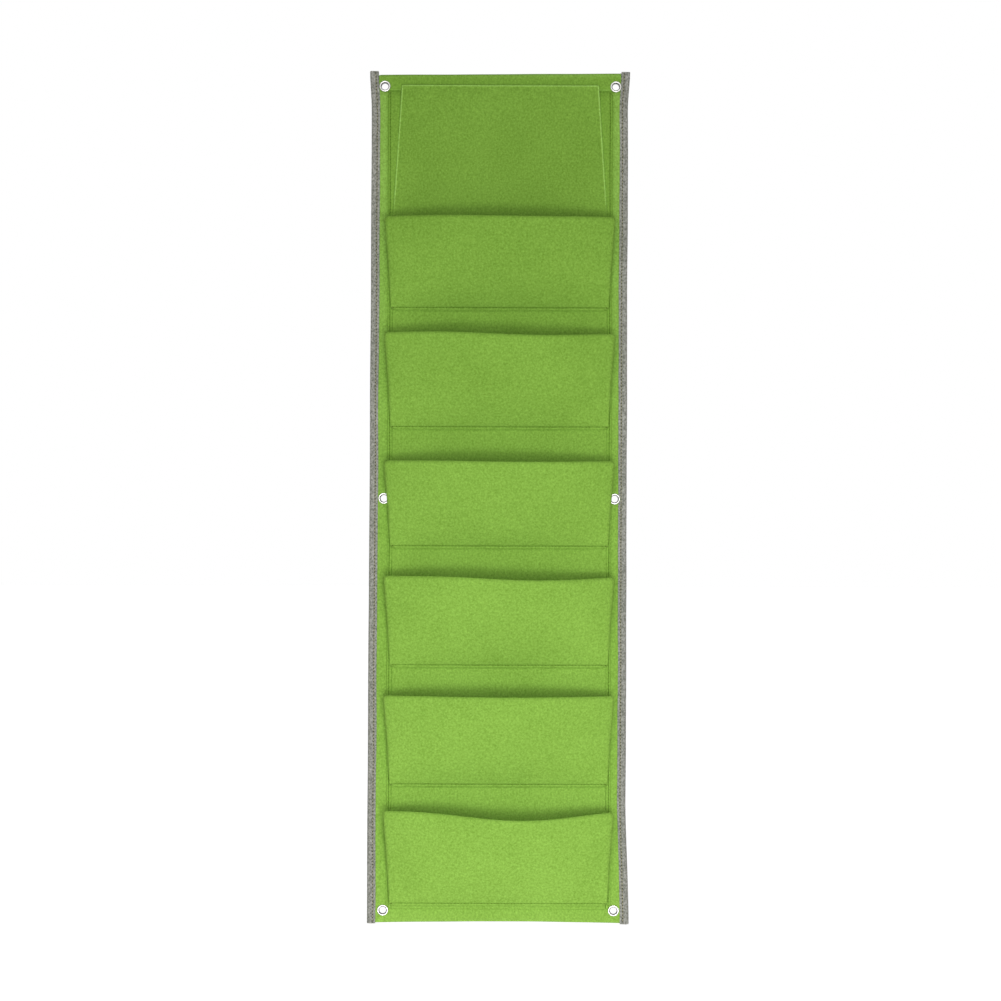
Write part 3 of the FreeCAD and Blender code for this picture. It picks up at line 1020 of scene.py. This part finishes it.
def pocket_section(number, share):
    """Level sections of a pocket, for shares of its height from the fold up to the brim.

    They run from the left strip along the left gusset, round a corner, along the front, round the
    other corner and back along the right gusset. The front's section is straight at the fold and
    an arc at the brim, and is mixed evenly in between, with quarter circles taken off its lower
    corners. Its columns lie closer towards the sides, as a sine's do. Corners and bowed gussets are
    quadratic curves. The result is x, y, the front's half width on each row, and each column's
    share of the way along its gusset, which is 0 on the front and its corners.
    """
    felt = bpy.context.scene.planter_felt
    low, high = node_box(f"pocket_front_{number}")
    strip_low, strip_high = node_box("right_strip")
    wall_inset = 5.3 * MM
    wall_gap = 1.0 * MM
    turn_share = 0.42
    sine_end = 1.4
    corner_columns = 8
    wall_columns = 15
    fold_y = fold_place(number)[1]
    half_fold = node_box(f"pocket_foot_{number}")[1][0]
    half_brim = high[0]
    crown_y = low[1] + felt.thickness / 2.0
    bulge = -felt.side_gape + felt.thickness / 2.0 - crown_y
    arc_radius = (half_brim**2 + bulge**2) / (2.0 * bulge)

    near_corner = 1.0 - np.clip(share * front_height(number) / felt.fold_corner, 0.0, 1.0)
    half_width = half_fold + (half_brim - half_fold) * share
    half_width = half_width - felt.fold_corner * (1.0 - np.sqrt(1.0 - near_corner**2))

    def front_y(x):
        """Depth of the plain front: from the fold line to the brim's arc by share of height."""
        at_brim = x * half_brim / half_width
        brim_y = crown_y + arc_radius - np.sqrt(arc_radius**2 - at_brim**2)
        return fold_y + (brim_y - fold_y) * share

    corner = np.concatenate([half_width, front_y(half_width)], axis=1)
    wall_end = np.broadcast_to([strip_high[0] - wall_inset, strip_low[1] - wall_gap], corner.shape)
    turn = np.minimum(felt.corner, turn_share * (wall_end - corner)[:, 1:])
    spread = np.sin(np.linspace(-sine_end, sine_end, FRONT_COLUMNS)) / np.sin(sine_end)
    front_x = spread * (half_width - turn)
    front = np.stack([front_x, front_y(front_x)], axis=-1)
    after = corner + unit(wall_end - corner) * turn
    bow = 2.0 * felt.gusset_bow * share * np.array([1.0, 0.0])
    corner_share = np.linspace(0.0, 1.0, corner_columns)[1:]
    wall_share = np.linspace(0.0, 1.0, wall_columns)[1:]
    rounded = bezier(front[:, -1], corner, after, corner_share)
    wall = bezier(after, (after + wall_end) / 2.0 - bow, wall_end, wall_share)
    right = np.concatenate([rounded, wall], axis=1)
    left = right[:, ::-1] * np.array([-1.0, 1.0])
    x, y = np.moveaxis(np.concatenate([left, front, right], axis=1), -1, 0)
    before_wall = np.zeros(x.shape[1] - 2 * len(wall_share))
    along_wall = np.concatenate([wall_share[::-1], before_wall, wall_share])
    return x, y, half_width, along_wall


def pocket_body(number):
    """A pocket from its fold to its brim, with each column's share of the way along its gusset.

    Its sections rise to a brim that sags as a squared cosine, and the gussets' top edges dip. A
    sine belly swells the front, and short waves gather it above the stitches.
    """
    felt = bpy.context.scene.planter_felt
    fold_z = fold_place(number)[0]
    height = front_height(number)
    sag = BRIM_SAG[number - 1]
    fold_share = 0.06
    fold_rows = 10
    front_rows = 42
    belly_rise = 0.85
    stray_share = 0.3
    gather_length = 14.0 * MM
    gather_stray = 0.8
    gather_start = 4.0 * MM
    gather_height = 11.0 * MM
    fold_part = np.linspace(0.0, fold_share, fold_rows)[:-1]
    share = np.append(fold_part, np.linspace(fold_share, 1.0, front_rows))[:, None]
    x, y, half_width, along_wall = pocket_section(number, share)
    seen = np.clip(x / half_width, -1.0, 1.0)
    hang = np.cos(np.clip(seen - SAG_CENTRE[number - 1], -1.0, 1.0) * np.pi / 2.0) ** 2
    z = fold_z + share * (height + sag / 2.0) - share**2 * sag * hang
    z = z - felt.gusset_dip * np.sin(np.pi * along_wall) * share**3
    rise = share * height
    swell = np.sin(np.pi * share**belly_rise) * (1.0 - seen**4)
    phase = x / gather_length + gather_stray * drift(x, 0.0 * x, "pocket_gathers", number)
    gathers = np.sin(2.0 * np.pi * phase) * fade(rise, gather_height) * smooth_step(rise / gather_start)
    stray = felt.unevenness * drift(x, z, "pocket_front", number) * smooth_step(share / stray_share)
    y = y - (felt.belly * swell + felt.pucker * gathers + stray) * (along_wall == 0.0)
    return np.stack([x, y, z], axis=-1), along_wall


def rolled_brim(body):
    """Rows that turn a pocket's brim inwards on a circle."""
    felt = bpy.context.scene.planter_felt
    roll_turn = 1.15
    roll_rows = 5
    up = unit(body[-1] - body[-2])
    out = grid_normals(body)[-1]
    angles = np.linspace(0.0, roll_turn, roll_rows + 1)[1:, None, None]
    return body[-1] + felt.brim_roll * (np.sin(angles) * up - (1.0 - np.cos(angles)) * out)


def pocket_foot(number, fold, front_end):
    """Rows from a pocket's raw edge up to its fold, and how far each of their points is pressed.

    The edge is pressed against the facing, a little ragged, and rounded at its ends as an ellipse is.
    """
    felt = bpy.context.scene.planter_felt
    fold_z, fold_y = fold_place(number)
    rows = 6
    press_length = 2.5 * MM
    clearance = 0.1 * MM
    rounding = 0.97
    ragged = 0.1
    reach = felt.foot_depth - felt.raw_edge / 2.0
    flat_y = node_box(f"pocket_foot_{number}")[1][1] - felt.raw_edge / 2.0 - clearance
    x = np.repeat(fold[None, :, 0], rows, axis=0)
    to_end = np.clip((np.abs(x) - front_end) / reach + 1.0, 0.0, 1.0)
    below = np.linspace(reach, 0.0, rows + 1)[:-1, None] * np.sqrt(1.0 - rounding * to_end**2)
    pressed = smooth_step(below / press_length)
    y = fold_y + (flat_y - fold_y) * pressed
    uneven = 1.0 + ragged * drift(fold[:, 0], fold[:, 2], "pocket_foot", number)
    return np.stack([x, y, fold_z - below * uneven], axis=-1), pressed


def pocket_sheet(number):
    """One pocket as a single folded sheet: sewn foot, swelling front, side gussets and rolled brim.

    The foot has no gussets. The stitches press a groove along the fold. The creases where the front
    turns into its gussets are pale with wear and painted highlight, the more the higher, and so is
    the brim's edge.
    """
    felt = bpy.context.scene.planter_felt
    gusset_press = 0.4 * MM
    groove_width = 1.0 * MM
    groove_end = 4.0 * MM
    crease_width = 1.6 * MM
    crease_wear_and_highlight = 0.3
    brim_wear_and_highlight = 0.15
    fold_z = fold_place(number)[0]
    half_brim = node_box(f"pocket_front_{number}")[1][0]
    half_fold = node_box(f"pocket_foot_{number}")[1][0]
    body, along_wall = pocket_body(number)
    on_front = along_wall == 0.0
    side_count = (body.shape[1] - FRONT_COLUMNS) // 2
    front_end = body[0, -side_count - 1, 0]
    foot, pressed = pocket_foot(number, body[0], front_end)
    middle = np.concatenate([foot, body, rolled_brim(body)])

    across = middle[..., 2] - foot_seam_z(number)
    to_corner = (front_end - np.abs(middle[..., 0])) / groove_end
    groove = bell(across, groove_width) * on_front * smooth_step(to_corner)
    middle[..., 1] += SEAM_PULL * groove
    keep = np.ones((middle.shape[0] - 1, middle.shape[1] - 1), bool)
    keep[: len(foot), :side_count] = False
    keep[: len(foot), -side_count:] = False
    thickness = felt.thickness - gusset_press * np.sin(np.pi / 2.0 * along_wall) - SEAM_PRESS * groove
    thickness[: len(foot)] += (felt.raw_edge - felt.thickness) * pressed
    # Creases and the brim's edge are pale with wear and painted highlight.
    lift = np.clip((middle[..., 2] - fold_z) / front_height(number), 0.0, 1.0)
    corner_x = half_fold + (half_brim - half_fold) * lift
    crease = lift * bell(np.abs(middle[..., 0]) - corner_x, crease_width)
    return felt_slab(
        middle,
        thickness,
        keep,
        seam=(middle[..., 0], np.where(on_front, across, UNSEWN)),
        edge_wear_and_highlight=brim_wear_and_highlight * (lift > 0.0),
        fold_wear_and_highlight=crease_wear_and_highlight * crease,
    )


def edge_tape(side):
    """Tape folded round a side: a flat front flap, a half turn and a back flap, along the planter.

    The needle pulls a groove into both flaps, the front one puffs up beside it, and the ends are
    cut slightly askew. At an eyelet the flaps' inner edges give way to its flange's circle with a
    clearance: what lies inside the seam is drawn towards it there.
    """
    trim = bpy.context.scene.planter_trim
    low, high = node_box("right_binding")
    half = trim.tape_thickness / 2.0
    bend_x = tape_bend_x()
    middle_y = (low[1] + high[1]) / 2.0
    radius = (high[1] - low[1]) / 2.0 - half
    scoop = 6.8 * MM
    groove_width = 1.0 * MM
    groove_depth = 0.28 * MM
    puff_x = bend_x - 1.5 * MM
    puff_width = 2.4 * MM
    puff_rise = 0.3 * MM
    end_length = 20.0 * MM
    end_stray = 0.5 * MM
    end_turn = 8.0
    # The tape's edges are pale with wear and painted highlight.
    tape_wear_and_highlight = 0.3
    flap_steps = 13
    turn_steps = 11
    flap_x = np.linspace(low[0] + half, bend_x, flap_steps)
    flat = np.ones(flap_steps)
    turns = np.linspace(-np.pi / 2.0, np.pi / 2.0, turn_steps)[1:-1]
    path_x = np.concatenate([flap_x, bend_x + radius * np.cos(turns), flap_x[::-1]])
    path_y = middle_y + radius * np.concatenate([-flat, np.sin(turns), flat])
    flap = np.concatenate([flat, 0.0 * turns, -flat])
    count = int(round((high[2] - low[2]) / trim.stitch_pitch)) * 2
    heights = np.linspace(low[2] + half, high[2] - half, count + 1)
    x, z = np.meshgrid(path_x, heights)
    across = x - tape_seam_x()
    puff = bell(x - puff_x, puff_width) * (flap > 0.0)
    y = path_y + flap * (groove_depth * bell(across, groove_width) - puff_rise * puff)
    seam = (z, across)

    inner = np.clip((bend_x - x) / (bend_x - low[0]), 0.0, 1.0)
    x = x + tape_sway(side, z, inner)
    seam_line = x[:, [np.argmin(np.abs(across[0]))]]
    reach = flange_reach(heights[:, None], side, scoop)
    limit = np.where(reach > 0.0, eyelet_place("top", "right")[0] + half + reach, 0.0)
    drawn = np.minimum((seam_line - limit) / (seam_line - x[:, :1]), 1.0)
    x = np.where(across < 0.0, seam_line + (x - seam_line) * drawn, x)
    near_end = fade(high[2] - z, end_length) + fade(z - low[2], end_length)
    z = z + near_end * end_stray * drift(x, end_turn * y, "tape_end", SIDES[side])
    middle, *seam = on_side(side, x, y, z, *seam)
    return felt_slab(middle, trim.tape_thickness, edge_steps=3, seam=seam, edge_wear_and_highlight=tape_wear_and_highlight)


def outward_faces(points, faces):
    """The same faces, turned round if the closed shape they bound has a negative volume."""
    corner = points[faces]
    first = np.einsum("ij,ij->i", corner[:, 0], np.cross(corner[:, 1], corner[:, 2]))
    second = np.einsum("ij,ij->i", corner[:, 0], np.cross(corner[:, 2], corner[:, 3]))
    return faces if (first + second).sum() > 0.0 else faces[:, ::-1]


def turned_ring(profile, centre, steps):
    """Ring turned round an axis along Y: a closed profile of radius, depth and throat mark."""
    angles = np.linspace(0.0, 2.0 * np.pi, steps, endpoint=False)[:, None]
    radius, depth, throat = (np.broadcast_to(row, (steps, len(profile))) for row in profile.T)
    x = centre[0] + np.cos(angles) * radius
    z = centre[1] + np.sin(angles) * radius
    points = np.stack([x, depth, z], axis=-1).reshape(-1, 3)
    index = np.arange(len(points)).reshape(steps, len(profile))
    ahead = np.roll(index, -1, axis=0)
    faces = np.stack([index, np.roll(index, -1, axis=1), np.roll(ahead, -1, axis=1), ahead], axis=-1)
    marks = {"throat": np.repeat(throat.reshape(-1, 1), 3, axis=1)}
    return points, outward_faces(points, faces.reshape(-1, 4)), marks


def profile_run(radius, depth, throat):
    """A run of a ring's section: the radius, depth and throat mark of each of its points."""
    return np.stack(np.broadcast_arrays(radius, depth, throat), axis=-1)


def eyelet_profile(node):
    """Section of an eyelet: a domed flange, a thin barrel and a lip rolled out at the back.

    A quarter ellipse leads from the bore to the flange, whose dome is a half ellipse out to its
    outer edge. The lip is a smaller ellipse. The throat mark fades out on the dome and on the lip.
    """
    low, high = node_box(node)
    outer = (high[0] - low[0]) / 2.0
    bore = 4.0 * MM
    barrel = bore + 0.5 * MM
    neck = barrel + 0.3 * MM
    dome = 1.4 * MM
    rim = 0.45 * MM
    funnel = 0.6 * MM
    funnel_depth = 1.2 * MM
    lip_width = 0.75 * MM
    lip_depth = 0.33 * MM
    lip_y = -0.35 * MM
    mouth = bore + funnel
    felt_y = low[1] + dome
    drop = np.linspace(np.pi / 2.0, 0.0, 6)[:-1]
    funnel_y = felt_y - rim + funnel_depth * (1.0 - np.cos(drop))
    throat = profile_run(bore + funnel * (1.0 - np.sin(drop)), funnel_y, 1.0)
    turns = np.linspace(np.pi, 0.0, 17)
    crown = profile_run(
        (mouth + outer) / 2.0 + (outer - mouth) / 2.0 * np.cos(turns),
        felt_y - rim - (dome - rim) * np.sin(turns),
        np.clip((turns - 2.4) / 0.5, 0.0, 1.0),
    )
    under_radius = [outer - 0.1 * MM, outer - 0.5 * MM, neck, barrel]
    under_y = felt_y + np.array([0.15 * MM, 0.25 * MM, 0.25 * MM, 0.5 * MM])
    under = profile_run([*under_radius, barrel], [*under_y, -0.75 * MM], 1.0)
    lip_turns = np.linspace(-0.4, np.pi, 9)
    lip = profile_run(
        neck + lip_width * np.cos(lip_turns),
        lip_y + lip_depth * np.sin(lip_turns),
        np.clip(lip_turns - 2.0, 0.0, 1.0),
    )
    inside = profile_run(bore, [-0.6 * MM, -1.6 * MM, (felt_y - funnel_depth) / 2.0], 1.0)
    return np.concatenate([throat, crown, under, lip, inside])


def washer_profile(node):
    """Section of a back washer: a flat ring with rounded edges, duller towards the felt."""
    low, high = node_box(node)
    outer = (high[0] - low[0]) / 2.0
    inner = 4.5 * MM
    edge = 0.15 * MM
    radius = [inner, inner + edge, outer - edge, outer]
    near_y = [low[1] + edge, low[1], low[1], low[1] + edge]
    far_y = [high[1] - edge, high[1], high[1], high[1] - edge]
    throat = [0.6, 0.6, 0.3, 0.2, 0.0, 0.0, 0.0, 0.4]
    return profile_run(radius + radius[::-1], near_y + far_y, throat)


def stitch_rows(rows, length, radius):
    """Rows of thread stitches, each a low six-sided arch whose ends sink into the cloth.

    A row holds the stitches' middles, their direction and the cloth's outward normal. The arch's
    middle line is a parabola along the direction, and its section tapers towards both ends.
    """
    rings = 5
    sides = 6
    count = rings * sides
    end_taper = 0.45
    crown = 0.75
    end_drop = 1.5
    flattened = 1.15
    t = np.linspace(-1.0, 1.0, rings)[:, None]
    angles = np.linspace(0.0, 2.0 * np.pi, sides, endpoint=False)
    taper = radius * (1.0 - end_taper * t**4)
    along = (t * length / 2.0 + 0.0 * angles).ravel()
    lift = (radius * (crown - end_drop * t**2) + taper * np.sin(angles)).ravel()
    aside = (flattened * taper * np.cos(angles)).ravel()
    index = np.arange(count).reshape(rings, sides)
    ahead = np.roll(index, -1, axis=1)
    tube = np.stack([index[:-1], ahead[:-1], ahead[1:], index[1:]], axis=-1).reshape(-1, 4)
    first_cap = np.array([[0, 3, 2, 1], [0, 5, 4, 3]])
    last_cap = count - sides + np.array([[0, 1, 2, 3], [0, 3, 4, 5]])
    one = np.concatenate([tube, first_cap, last_cap])
    points = []
    for middles, direction, normal in rows:
        beside = np.cross(normal, direction)
        shape = along[:, None] * direction + aside[:, None] * beside + lift[:, None] * normal
        points.append((middles[:, None, :] + shape).reshape(-1, 3))
    points = np.concatenate(points)
    faces = (np.arange(0, len(points), count)[:, None, None] + one).reshape(-1, 4)
    return points, outward_faces(points, faces), {}


def stitch_steps(first, last, pitch):
    """Middles of the stitches from one end of a seam to the other, halfway between its needle holes."""
    return (np.arange(np.ceil(first / pitch), np.floor(last / pitch)) + 0.5) * pitch


class PLANTER_OT_eyelets(bpy.types.Operator):
    """Make the six eyelets and their back washers"""

    bl_idname = "planter.eyelets"
    bl_label = "Eyelets"

    def execute(self, context):
        trim = context.scene.planter_trim
        material = nickel_material(tuple(trim.nickel))
        for row in EYELET_ROWS:
            for side in SIDES:
                for kind, section in (("eyelet", eyelet_profile), ("washer", washer_profile)):
                    node = f"{kind}_{row}_{side}"
                    ring = turned_ring(section(node), eyelet_place(row, side), trim.ring_steps)
                    sewn_down(add_piece(f"nickel_{node}", *ring, material, "nickel"), node)
        return {"FINISHED"}


class PLANTER_OT_stitches(bpy.types.Operator):
    """Sew the tapes, strips and pocket feet with thread"""

    bl_idname = "planter.stitches"
    bl_label = "Stitches"

    def execute(self, context):
        trim = context.scene.planter_trim
        felt = context.scene.planter_felt
        khaki = thread_material("thread_khaki", tuple(trim.khaki))
        green = thread_material("thread_green", tuple(trim.dark_green))
        pitch = trim.stitch_pitch
        stitch_length = 0.72 * pitch
        tape_dent = 0.25 * MM
        strip_dent = 0.4 * MM
        end_gap = 1.0 * MM
        strip_foot_gap = 2.0 * MM
        strip_top_gap = 3.0 * MM
        back_y = node_box("back_panel")[1][1]
        tape_low, tape_high = node_box("right_binding")
        strip_low, strip_high = node_box("right_strip")
        inner = 1.0 - trim.tape_seam / (tape_bend_x() - tape_low[0])

        def sew(name, axis, along, across, front_y, rear_y, material, slot):
            """A row of stitches on the front and one behind it, along x or z."""
            rows = []
            for y, normal in ((front_y, FRONT), (rear_y, BACK)):
                middles = np.zeros((len(along), 3))
                middles[:, axis] = along
                middles[:, 2 - axis] = across
                middles[:, 1] = y
                rows.append((middles, np.eye(3)[axis], normal))
            stitches = stitch_rows(rows, stitch_length, trim.thread_radius)
            sewn_down(add_piece(name, *stitches, material, slot))

        for side, sign in SIDES.items():
            up = stitch_steps(tape_low[2] + end_gap, tape_high[2] - end_gap, pitch)
            x = sign * (tape_seam_x() + tape_sway(side, up, inner))
            front_y = tape_low[1] + tape_dent
            sew(f"tape_stitches_{side}", 2, up, x, front_y, tape_high[1] - tape_dent, khaki, "tape")
            up = stitch_steps(strip_low[2] + strip_foot_gap, strip_high[2] - strip_top_gap, pitch)
            x = sign * (strip_seam_x() + strip_sway(side, up))
            sew(f"strip_stitches_{side}", 2, up, x, strip_low[1] + strip_dent, back_y, green, "felt")
        for number in POCKETS:
            end = node_box(f"pocket_foot_{number}")[1][0] - felt.fold_corner - end_gap
            along = stitch_steps(-end, end, pitch)
            groove_y = fold_place(number)[1] + SEAM_PULL - (felt.thickness - SEAM_PRESS) / 2.0
            z = foot_seam_z(number)
            sew(f"foot_stitches_{number}", 0, along, z, groove_y, back_y, green, "felt")
        return {"FINISHED"}


class PLANTER_OT_backing(bpy.types.Operator):
    """Make the backing felt with its folded hem"""

    bl_idname = "planter.backing"
    bl_label = "Backing felt"

    def execute(self, context):
        piece = add_piece("backing_felt", *backing_sheet(), felt_material(), "felt")
        sewn_down(piece, "back_panel")
        return {"FINISHED"}


class PLANTER_OT_facing(bpy.types.Operator):
    """Make the facing felt behind the pockets"""

    bl_idname = "planter.facing"
    bl_label = "Facing felt"

    def execute(self, context):
        piece = add_piece("facing_felt", *facing_sheet(), felt_material(), "felt")
        sewn_down(piece, "facing_panel")
        return {"FINISHED"}


class PLANTER_OT_strips(bpy.types.Operator):
    """Make the two sewn side strips"""

    bl_idname = "planter.strips"
    bl_label = "Side strips"

    def execute(self, context):
        for side in SIDES:
            piece = add_piece(f"side_strip_{side}", *side_strip(side), felt_material(), "felt")
            sewn_down(piece, f"{side}_strip")
        return {"FINISHED"}


class PLANTER_OT_pockets(bpy.types.Operator):
    """Make the six folded felt pockets"""

    bl_idname = "planter.pockets"
    bl_label = "Pockets"

    def execute(self, context):
        kinds = ("pocket_front", "pocket_foot", "gusset_left", "gusset_right")
        for number in POCKETS:
            piece = add_piece(f"pocket_felt_{number}", *pocket_sheet(number), felt_material(), "felt")
            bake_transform(piece)
            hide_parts(*(f"{kind}_{number}" for kind in kinds))
        return {"FINISHED"}


class PLANTER_OT_tapes(bpy.types.Operator):
    """Make the two grey edge tapes"""

    bl_idname = "planter.tapes"
    bl_label = "Edge tapes"

    def execute(self, context):
        material = tape_material()
        for side in SIDES:
            piece = add_piece(f"edge_tape_{side}", *edge_tape(side), material, "tape")
            sewn_down(piece, f"{side}_binding")
        return {"FINISHED"}


def camera_white(tree):
    """1 for rays from the camera and for those mirrored or let through, and 0 for the rest."""
    path = place_node(tree, "ShaderNodeLightPath").outputs
    mirrored = math_node(tree, "MAXIMUM", path["Is Glossy Ray"], path["Is Transmission Ray"])
    return math_node(tree, "MAXIMUM", path["Is Camera Ray"], mirrored)


def add_camera(stage):
    """Camera level with the planter's middle, whose picture is as wide as the stage's view at the wall."""
    lens = bpy.data.cameras.new("photo_view")
    lens.sensor_width = 36.0
    lens.lens = lens.sensor_width * stage.distance / stage.view_width
    camera = bpy.data.objects.new("photo_view", lens)
    camera.location = (stage.aside, -stage.distance, stage.eye_level)
    camera.rotation_euler = (np.pi / 2.0, stage.roll, 0.0)
    bpy.context.scene.collection.objects.link(camera)
    bpy.context.scene.camera = camera


def soft_lamp(name, kind, power, place, target):
    """Lamp of a kind and power at a place, turned to a target."""
    lamp = bpy.data.lights.new(name, kind)
    lamp.energy = power
    holder = bpy.data.objects.new(name, lamp)
    holder.location = place
    holder.rotation_euler = (Vector(target) - Vector(place)).to_track_quat("-Z", "Y").to_euler()
    bpy.context.scene.collection.objects.link(holder)
    return lamp


def add_lamps(stage):
    """Broad lamps in front and behind, and a low spot lamp that brightens the planter towards its foot."""
    key = soft_lamp("key_lamp", "AREA", stage.key_power, place=(0.0, -2.2, -0.55), target=(0.0, 0.0, -0.5))
    key.size = 1.2
    middle = (0.0, 0.0, stage.eye_level)
    back = soft_lamp("back_lamp", "AREA", stage.back_power, place=(0.4, 2.4, 0.2), target=middle)
    back.size = 1.8
    low = soft_lamp("low_lamp", "SPOT", stage.low_power, place=(0.24, -2.6, -1.4), target=(0.0, 0.0, -1.38))
    low.spot_size = np.radians(59.0)
    low.spot_blend = 1.0
    low.shadow_soft_size = 0.5


def add_surround(stage):
    """World that looks white and lights the planter evenly at the stage's strength."""
    world = bpy.data.worlds.new("white_surround")
    bpy.context.scene.world = world
    world.use_nodes = True
    tree = world.node_tree
    strength = mapped(tree, camera_white(tree), 0.0, 1.0, stage.surround, 1.0)
    fill_inputs(tree, tree.nodes["Background"], {"Color": WHITE, "Strength": strength})


def add_floor(stage):
    """Wide level floor, as an even grid, that looks white but keeps the planter's shadow."""
    reach = 30.0
    lines = 9
    glow = 0.74
    steps = np.linspace(-reach, reach, lines)
    x, y = np.meshgrid(steps, steps)
    z = np.full_like(x, cad_box[0][2] - stage.floor_drop)
    mesh = bpy.data.meshes.new("floor")
    mesh.from_pydata(np.stack([x, y, z], axis=-1).reshape(-1, 3), [], grid_quads(lines, lines).reshape(-1, 4))
    material, tree, shader = new_material("floor_white")[:3]
    finish = {
        "Base Color": shade_of(stage.floor_white),
        "Roughness": 0.9,
        "Emission Color": WHITE,
        "Emission Strength": math_node(tree, "MULTIPLY", camera_white(tree), glow),
    }
    fill_inputs(tree, shader, finish)
    mesh.materials.append(material)
    floor = bpy.data.objects.new("floor", mesh)
    bpy.context.scene.collection.objects.link(floor)


class PLANTER_OT_stage(bpy.types.Operator):
    """Set the camera, soft lamps, white surround and pale floor"""

    bl_idname = "planter.stage"
    bl_label = "Stage"

    def execute(self, context):
        stage = context.scene.planter_stage
        context.scene.view_settings.view_transform = "Standard"
        add_camera(stage)
        add_lamps(stage)
        add_surround(stage)
        add_floor(stage)
        return {"FINISHED"}


class PLANTER_PT_panel(bpy.types.Panel):
    """Sidebar list of the planter's sizes and pieces"""

    bl_idname = "PLANTER_PT_panel"
    bl_label = "Felt Wall Planter"
    bl_space_type = "VIEW_3D"
    bl_region_type = "UI"
    bl_category = "Planter"

    def draw(self, context):
        for group in SETTINGS:
            settings = getattr(context.scene, group)
            box = self.layout.box()
            for name in settings.bl_rna.properties.keys():
                if name not in {"rna_type", "name"}:
                    box.prop(settings, name)
        for operator in OPERATORS:
            self.layout.operator(operator.bl_idname)


OPERATORS = (
    PLANTER_OT_stage,
    PLANTER_OT_eyelets,
    PLANTER_OT_stitches,
    PLANTER_OT_backing,
    PLANTER_OT_facing,
    PLANTER_OT_strips,
    PLANTER_OT_pockets,
    PLANTER_OT_tapes,
)
SETTINGS = {"planter_felt": PlanterFelt, "planter_trim": PlanterTrim, "planter_stage": PlanterStage}


def register():
    for settings in SETTINGS.values():
        bpy.utils.register_class(settings)
    for operator in OPERATORS:
        bpy.utils.register_class(operator)
    bpy.utils.register_class(PLANTER_PT_panel)
    for name, settings in SETTINGS.items():
        setattr(bpy.types.Scene, name, PointerProperty(type=settings))


def unregister():
    for name in SETTINGS:
        delattr(bpy.types.Scene, name)
    bpy.utils.unregister_class(PLANTER_PT_panel)
    for operator in reversed(OPERATORS):
        bpy.utils.unregister_class(operator)
    for settings in reversed(SETTINGS.values()):
        bpy.utils.unregister_class(settings)


def main():
    register()
    bpy.ops.planter.stage()
    bpy.ops.planter.eyelets()
    bpy.ops.planter.stitches()
    bpy.ops.planter.backing()
    bpy.ops.planter.facing()
    bpy.ops.planter.strips()
    bpy.ops.planter.pockets()
    bpy.ops.planter.tapes()


if __name__ == "__main__":
    main()
